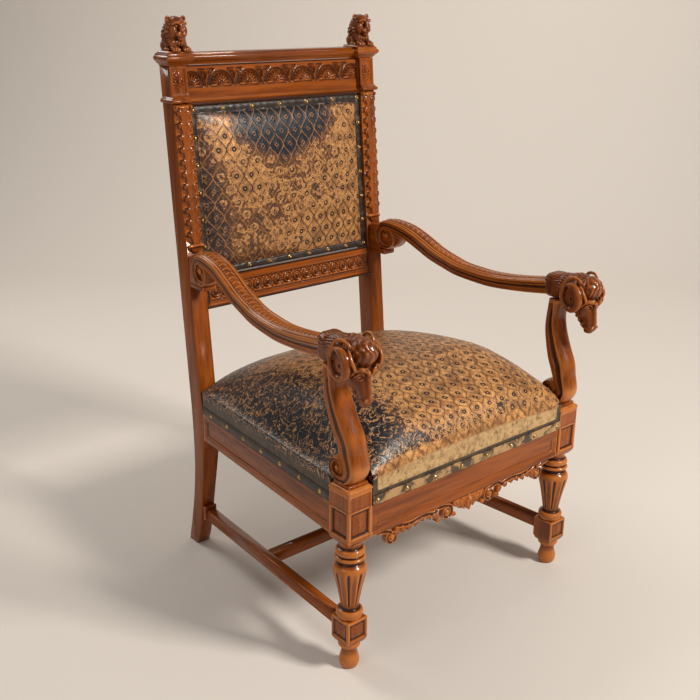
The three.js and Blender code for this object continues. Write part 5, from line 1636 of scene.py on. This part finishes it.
def apron_parts():
    """The pierced band of scrolls and leaves under the front rail."""
    half = Parts()
    outer = spiral((218, 265), [(70, 15, 6.5), (20, 15.5, 6.5), (-30, 15, 6.5), (-80, 14.5, 6.3),
                                (-130, 13.5, 6), (-180, 12.2, 5.6), (-230, 10.5, 5),
                                (-280, 8.4, 4.5), (-330, 6.4, 4), (-380, 4.6, 3.2)])
    inner = spiral((64, 266), [(100, 17, 7), (150, 16.5, 7), (200, 16, 7), (250, 15.3, 6.6),
                               (300, 14.2, 6.2), (350, 12.6, 5.8), (400, 10.6, 5.2),
                               (450, 8.4, 4.6), (500, 6.4, 4), (550, 4.6, 3.2)])
    scroll_band(half, np.concatenate([[(254, 288, 9), (240, 284, 8)], outer]))
    scroll_band(half, np.concatenate([[(208, 287, 8), (198, 283.5, 9), (182, 279, 9),
                                       (164, 277.5, 9), (142, 280.5, 8.5), (122, 280.5, 9),
                                       (104, 276, 8.5), (88, 283, 8)], inner]))
    # Leaves: place, direction in degrees, length, width and bend.
    for leaf in ((204, 281, 262, 20, 12, 0.25), (190, 279, 250, 15, 10, 0.3),
                 (172, 276, 255, 13, 10, 0.3), (152, 277, 262, 11, 9, 0.3),
                 (136, 279, 270, 11, 9, -0.3), (116, 277, 275, 12, 9, -0.3),
                 (98, 275, 262, 18, 12, -0.25), (42, 284, 252, 20, 13, -0.25),
                 (31, 284, 262, 25, 15, -0.15), (17, 284, 268, 29, 15, -0.1),
                 (84, 258, 320, 11, 9, 0.3), (48, 256, 215, 11, 9, -0.3)):
        curved_leaf(half, *leaf)
    for x, z in ((218, 265), (64, 266)):
        boss(half, x, z, 16, [(0.3, -1.6), (3.12, -1.0), (4.94, 0.8), (5.2, 3), (5.2, 12)])
    whole = Parts()
    for side in (1, -1):
        whole.take(half, lambda points: points * [side, 1, 1])
    # The drop in the middle: a leaf between two scrolls, with a bead above.
    for side in (1, -1):
        rows = [(0, 9.5, 5.5), (60, 9.5, 5.5), (120, 9, 5.2), (180, 8, 4.8), (240, 6.6, 4.2),
                (300, 5, 3.6)]
        rows = [(90 - side * turn, reach, wide) for turn, reach, wide in rows]
        scroll_band(whole, spiral((13 * side, 274), rows), 1.2)
    for leaf in ((0, 286, 270, 36, 16, 0.0, 2.0), (8, 284, 292, 22, 9, 0.25, 1.0),
                 (-8, 284, 248, 22, 9, -0.25, 1.0)):
        curved_leaf(whole, *leaf)
    boss(whole, 0, 277, 20, [(0.3, -5), (4, -4.2), (6.4, -2), (7, 1), (7, 10)])
    whole.bar((-257.5, 257.5), (APRON_FACE + 2.5, APRON_FACE + 13), (283, 289.6), 0.8)
    return whole


# ---- nailed strips -----------------------------------------------------------------------
def nail_head(parts, centre, out, radius, rise):
    """A domed nail with a thin rim, its face turned `out`."""
    up = np.array([0.0, 0.0, 1.0])
    centre, out, across = np.array(centre, float), np.array(out, float), np.cross(up, out)
    rows = [(1.0, -1.2), (1.04, 0.1), (0.96, 0.5), (0.9, 0.45), (0.82, 0.1875 * rise + 0.5),
            (0.6, rise * 0.82), (0.32, rise * 0.97), (0.05, rise)]
    parts.loft([[centre + out * d + radius * q * (across * math.cos(a) + up * math.sin(a))
                 for a in circle(16)] for q, d in rows])


def ripple(x, seed, size):
    """A repeatable uneven line for edges of old leather."""
    return size * (np.sin(x * 0.113 + seed) + 0.6 * np.sin(x * 0.271 + seed * 2.3)
                   + 0.4 * np.sin(x * 0.617 + seed * 4.1)) / 2


def back_trim_parts():
    """The strip of leather nailed round the back's upholstery, with its nails apart."""
    strip, nails = Parts(), Parts()
    half = STILE_INNER - 0.7
    low, high = lean(PAD_LOW + 0.4), lean(PAD_HIGH - 0.4)
    u = np.linspace(0, 1, 9)
    profile = 8.0 - 1.5 * np.sin(np.pi * u) ** 0.6
    for kind, length in (("top", 2 * half), ("bottom", 2 * half), ("left", high - low),
                         ("right", high - low)):
        run, over = np.meshgrid(np.linspace(0, length, int(length / 4) + 1), u, indexing="ij")
        depth = profile - np.sin(np.pi * over) * (
            0.9 * np.abs(ripple(run * 1.6 + 9 * over, 3, 1.0)) + 0.5 * ripple(run * 3, 8, 1.0))
        across = over * (TRIM_WIDE + ripple(run, 1, 1.3) * over)
        if kind in ("top", "bottom"):
            relief(strip, run - half, depth, high - across if kind == "top" else low + across, 26.8)
        else:
            relief(strip, across - half if kind == "left" else half - across, depth + 0.06,
                   low + run, 26.8)
    inset = TRIM_WIDE / 2
    spots = [(x, z) for z, count in ((high - inset, 7), (low + inset, 9))
             for x in np.linspace(inset - half, half - inset, count)]
    spots += [(side * (half - inset), z) for side in (-1, 1)
              for z in np.linspace(low + inset, high - inset, 7)[1:-1]]
    for x, z in spots:
        nail_head(nails, (x, 6.6, z), (0, -1, 0), 5.4, 4.4)
    return strip, nails


def seat_front_trim_parts():
    """The nailed strip along the foot of the seat's front."""
    strip, nails = Parts(), Parts()
    half = LEG_X - POST_HALF - 1
    z0, z1 = RAIL_TOP + 0.3, RAIL_TOP + 20
    x, u = np.meshgrid(np.linspace(-half, half, 190), np.linspace(0, 1, 15))
    top = z1 + ripple(x, 2, 0.8)
    z = z0 + (top - z0) * u
    face = SEAT_FRONT_Y - 0.9 - 1.9 * np.clip(1 - np.abs(2 * u - 1) ** 5, 0, 1) ** 0.5
    y = face - 0.5 * np.abs(ripple(x * 1.7 + z * 3, 5, 1.0)) + 0.9 * bell(u - 0.80, 0.05)
    relief(strip, x, y, z, SEAT_FRONT_Y - 0.2)
    for i in range(8):
        nail_head(nails, ((i - 3.5) * 76, SEAT_FRONT_Y - 2.6, (z0 + z1) / 2 - 1), (0, -1, 0),
                  5.6, 3.6)
    return strip, nails


def seat_side_trim_parts():
    """The nailed strip along the foot of the seat's right side."""
    strip, nails = Parts(), Parts()
    y0, y1 = LEG_Y + POST_HALF + 1.3, 244.6
    z0, z1 = RAIL_TOP + 0.3, RAIL_TOP + 20
    y, u = np.meshgrid(np.linspace(y0, y1, 170), np.linspace(0, 1, 15))
    z = z0 + (z1 + ripple(y, 4, 0.8) - z0) * u
    puff = np.clip(1 - np.abs(2 * u - 1) ** 5, 0, 1) ** 0.5
    x = side_x(y) + 0.5 + 1.5 * puff + 0.4 * np.abs(ripple(y * 1.9 + z * 2, 7, 1.0))
    x -= 1.1 * bell(u - 0.84, 0.05) + 0.8 * bell(u - 0.16, 0.05)
    side_relief(strip, y, x, z, -0.2)
    for i in range(7):
        spot = y0 + 34 + i * 73
        nail_head(nails, (side_x(spot) + 2.0, spot, (z0 + z1) / 2), (1, 0, 0), 5.2, 3.0)
    return strip, nails


# ---- the chair's pieces ------------------------------------------------------------------
def dress(obj, slot, material, *nodes):
    """Gives a piece its finish and its body, and hides the nodes it stands for. `slot` is not used.
    """
    obj.data.materials.clear()
    obj.data.materials.append(material)
    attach(obj, "root")
    if nodes:
        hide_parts(*nodes)
    return obj


def single(parts, name, slot_name, material, *nodes, steps=8, scale=0.6, moved=None,
           mirror=False):
    """A piece of carved or plain wood."""
    obj = parts.build(name, mirror, moved)
    add_hollows(obj, steps, scale)
    if hasattr(parts, "hair"):
        set_attributes(obj, hair_phase=parts.hair[0], hair_amount=parts.hair[1])
    return dress(obj, slot_name, material, *nodes)


def pair(parts, stem, slot_name, material, steps=8, scale=0.6, moved=None, stands_for=None):
    """The right piece and its mirrored fellow."""
    for side in ("right", "left"):
        single(parts, stem + "_carving_" + side, slot_name, material,
               (stands_for or stem) + "_" + side, steps=steps, scale=scale, moved=moved,
               mirror=side == "left")


def strip_and_nails(strip, nails, stem, leather, moved=None, mirror=False):
    """A strip of leather and its nails, which stand together for one node."""
    dress(strip.build(stem + "_leather", mirror, moved), "edge_leather", leather, stem)
    dress(nails.build(stem + "_nails", mirror, moved), "brass_nails", BRASS, stem)


def bar_parts(*measures):
    parts = Parts()
    parts.bar(*measures)
    return parts


SEAT_GILT = gilt_leather("leather_gilt_seat", False, 3.0)
BACK_GILT = gilt_leather("leather_gilt_back", True, 7.0)
TRIM = plain_leather("leather_edge", (0.026, 0.017, 0.012, 1), (0.105, 0.068, 0.042, 1))
TRIM_FRONT = plain_leather("leather_front_edge", (0.060, 0.034, 0.016, 1),
                           (0.46, 0.27, 0.11, 1), 5.0, 0.42)
BRASS = brass("brass_dull")
ARM_WOOD = walnut("walnut_arm", "y", seed=2.0)
BEAST_WOOD = walnut("walnut_beast", "z", (0.27, 0.062, 0.007, 1), (0.10, 0.019, 0.002, 1),
                    seed=6.0, hair=True, rough=0.32)
UPRIGHT_WOOD = walnut("walnut_turned", "z", seed=4.0)
CROSS_WOOD = walnut("walnut_across", "x", seed=8.0)
SIDE_WOOD = walnut("walnut_along", "y", seed=9.0)
PLAIN_CROSS = walnut("walnut_plain_across", "x", seed=8.0, hollow=False)
PLAIN_SIDE = walnut("walnut_plain_along", "y", seed=9.0, hollow=False)
STILE_WOOD = walnut("walnut_stile", "z", seed=11.0, hollow=False)

seat = dress(seat_leather(), "gilt_leather", SEAT_GILT, "seat_cushion")
pad = dress(back_pad_leather(), "gilt_leather", BACK_GILT, "back_pad")

pair(arm_parts(), "arm", "carved_walnut", ARM_WOOD)
pair(ram_head(), "ram", "carved_walnut", BEAST_WOOD, 12, 1.2, stands_for="arm")
pair(lion(), "lion", "carved_walnut", BEAST_WOOD, 10, 0.9)
pair(support_parts(), "arm_support", "walnut", UPRIGHT_WOOD)
single(frieze_parts(), "frieze_carving", "carved_walnut", CROSS_WOOD, "frieze", steps=12,
       scale=1.5, moved=back_point)
single(lower_rail_parts(), "lower_back_rail_carving", "carved_walnut", CROSS_WOOD,
       "lower_back_rail", steps=12, scale=1.5, moved=back_point)
single(cornice_parts(), "cornice_moulding", "walnut", PLAIN_CROSS, "cornice")
single(front_rail_parts(), "front_rail_moulding", "walnut", CROSS_WOOD, "front_rail")
single(cross_stretcher_parts(), "cross_stretcher_bar", "shaded_walnut", PLAIN_CROSS,
       "cross_stretcher")
single(bar_parts((-BETWEEN_STILES, BETWEEN_STILES), (243, 284), (RAIL_BOTTOM, RAIL_TOP), 1.5),
       "back_seat_rail_bar", "shaded_walnut", PLAIN_CROSS, "back_seat_rail")
pair(pilaster_parts(), "pilaster", "carved_walnut", UPRIGHT_WOOD, 10, 1.2, back_point)
pair(stile_parts(), "rear_stile", "walnut", STILE_WOOD)
pair(leg_parts(), "front_leg", "walnut", UPRIGHT_WOOD, 9, 0.65)
pair(side_rail_parts(), "side_rail", "walnut", SIDE_WOOD)
pair(side_stretcher_parts(), "side_stretcher", "shaded_walnut", PLAIN_SIDE)
pair(bar_parts((252.6, 283.4), (254.2, 267.0), (76.2, 112.8), 2.2), "stretcher_collar",
     "shaded_walnut", PLAIN_SIDE)
single(apron_parts(), "apron_carving", "carved_walnut", CROSS_WOOD, "apron", steps=6, scale=0.7)
strip_and_nails(*back_trim_parts(), "back_trim", TRIM, back_point)
strip_and_nails(*seat_front_trim_parts(), "seat_trim_front", TRIM_FRONT)
for side in ("right", "left"):
    strip_and_nails(*seat_side_trim_parts(), "seat_trim_" + side, TRIM, mirror=side == "left")


# ---- floor, light and camera -------------------------------------------------------------
def studio():
    """A plain pale floor that curves up into a backdrop behind the chair."""
    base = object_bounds()[0].z / MM - 0.4
    half_wide, near_edge, far_edge, bend, wall = 12000, -9000, 2400, 1500, 7000
    line = [(near_edge, base)]
    for angle in np.linspace(0, math.pi / 2, 24):
        line.append((far_edge + bend * math.sin(angle), base + bend * (1 - math.cos(angle))))
    line.append((far_edge + bend, base + wall))
    turn = math.radians(-40.8)
    points = [(x * math.cos(turn) - back * math.sin(turn),
               x * math.sin(turn) + back * math.cos(turn), z)
              for back, z in line for x in (-half_wide, half_wide)]
    floor = make_mesh("studio_floor", points, grid_quads(len(line), 2))
    n = Nodes("studio_paper")
    n.set(Base_Color=(0.77, 0.715, 0.66, 1), Roughness=0.9, Specular_IOR_Level=0.1)
    floor.data.materials.append(n.material)


def light(name, place, aim, size, power, colour):
    """A square softbox of `size` metres and `power` watts, turned towards `aim`."""
    data = bpy.data.lights.new(name, "AREA")
    data.size = size
    data.energy = power
    data.color = colour
    obj = bpy.data.objects.new(name, data)
    obj.location = place
    obj.rotation_euler = (Vector(aim) - Vector(place)).to_track_quat("-Z", "Y").to_euler()
    bpy.context.scene.collection.objects.link(obj)


def camera():
    """A camera in front of the chair and to one side, looking slightly down."""
    data = bpy.data.cameras.new("camera")
    data.sensor_width = 36.0
    data.lens = 51.92
    data.clip_end = 100
    obj = bpy.data.objects.new("camera", data)
    yaw, pitch, roll = (math.radians(a) for a in (40.776, 19.508, 0.5017))
    forward = Vector((math.sin(yaw) * math.cos(pitch), math.cos(yaw) * math.cos(pitch),
                      -math.sin(pitch)))
    right = Vector((math.cos(yaw), -math.sin(yaw), 0))
    up = right.cross(forward)
    turned_right = right * math.cos(roll) + up * math.sin(roll)
    turned_up = up * math.cos(roll) - right * math.sin(roll)
    basis = Matrix((turned_right, turned_up, -forward)).transposed().to_4x4()
    stand = Vector((-1.4169, -1.5746, 1.2666))
    obj.matrix_world = Matrix.Translation(stand) @ basis
    bpy.context.scene.collection.objects.link(obj)
    bpy.context.scene.camera = obj


studio()
light("key", (1.1, -3.0, 2.9), (0, 0, 0.6), 0.8, 142, (1.0, 0.95, 0.88))
light("fill", (-3.0, -0.6, 1.8), (0, 0, 0.7), 1.4, 12, (1.0, 0.95, 0.90))
light("back", (-0.6, 2.4, 2.9), (0, 0.1, 0.8), 1.4, 40, (1.0, 0.96, 0.91))
light("wash", (2.4, 0.6, 3.2), (3.2, 4.2, 0.8), 2.0, 30, (1.0, 0.96, 0.90))
world = bpy.data.worlds.new("studio_air")
world.use_nodes = True
air = world.node_tree.nodes["Background"]
air.inputs["Color"].default_value = (1.0, 0.96, 0.91, 1)
air.inputs["Strength"].default_value = 0.17
bpy.context.scene.world = world
bpy.context.scene.view_settings.view_transform = "Standard"
camera()
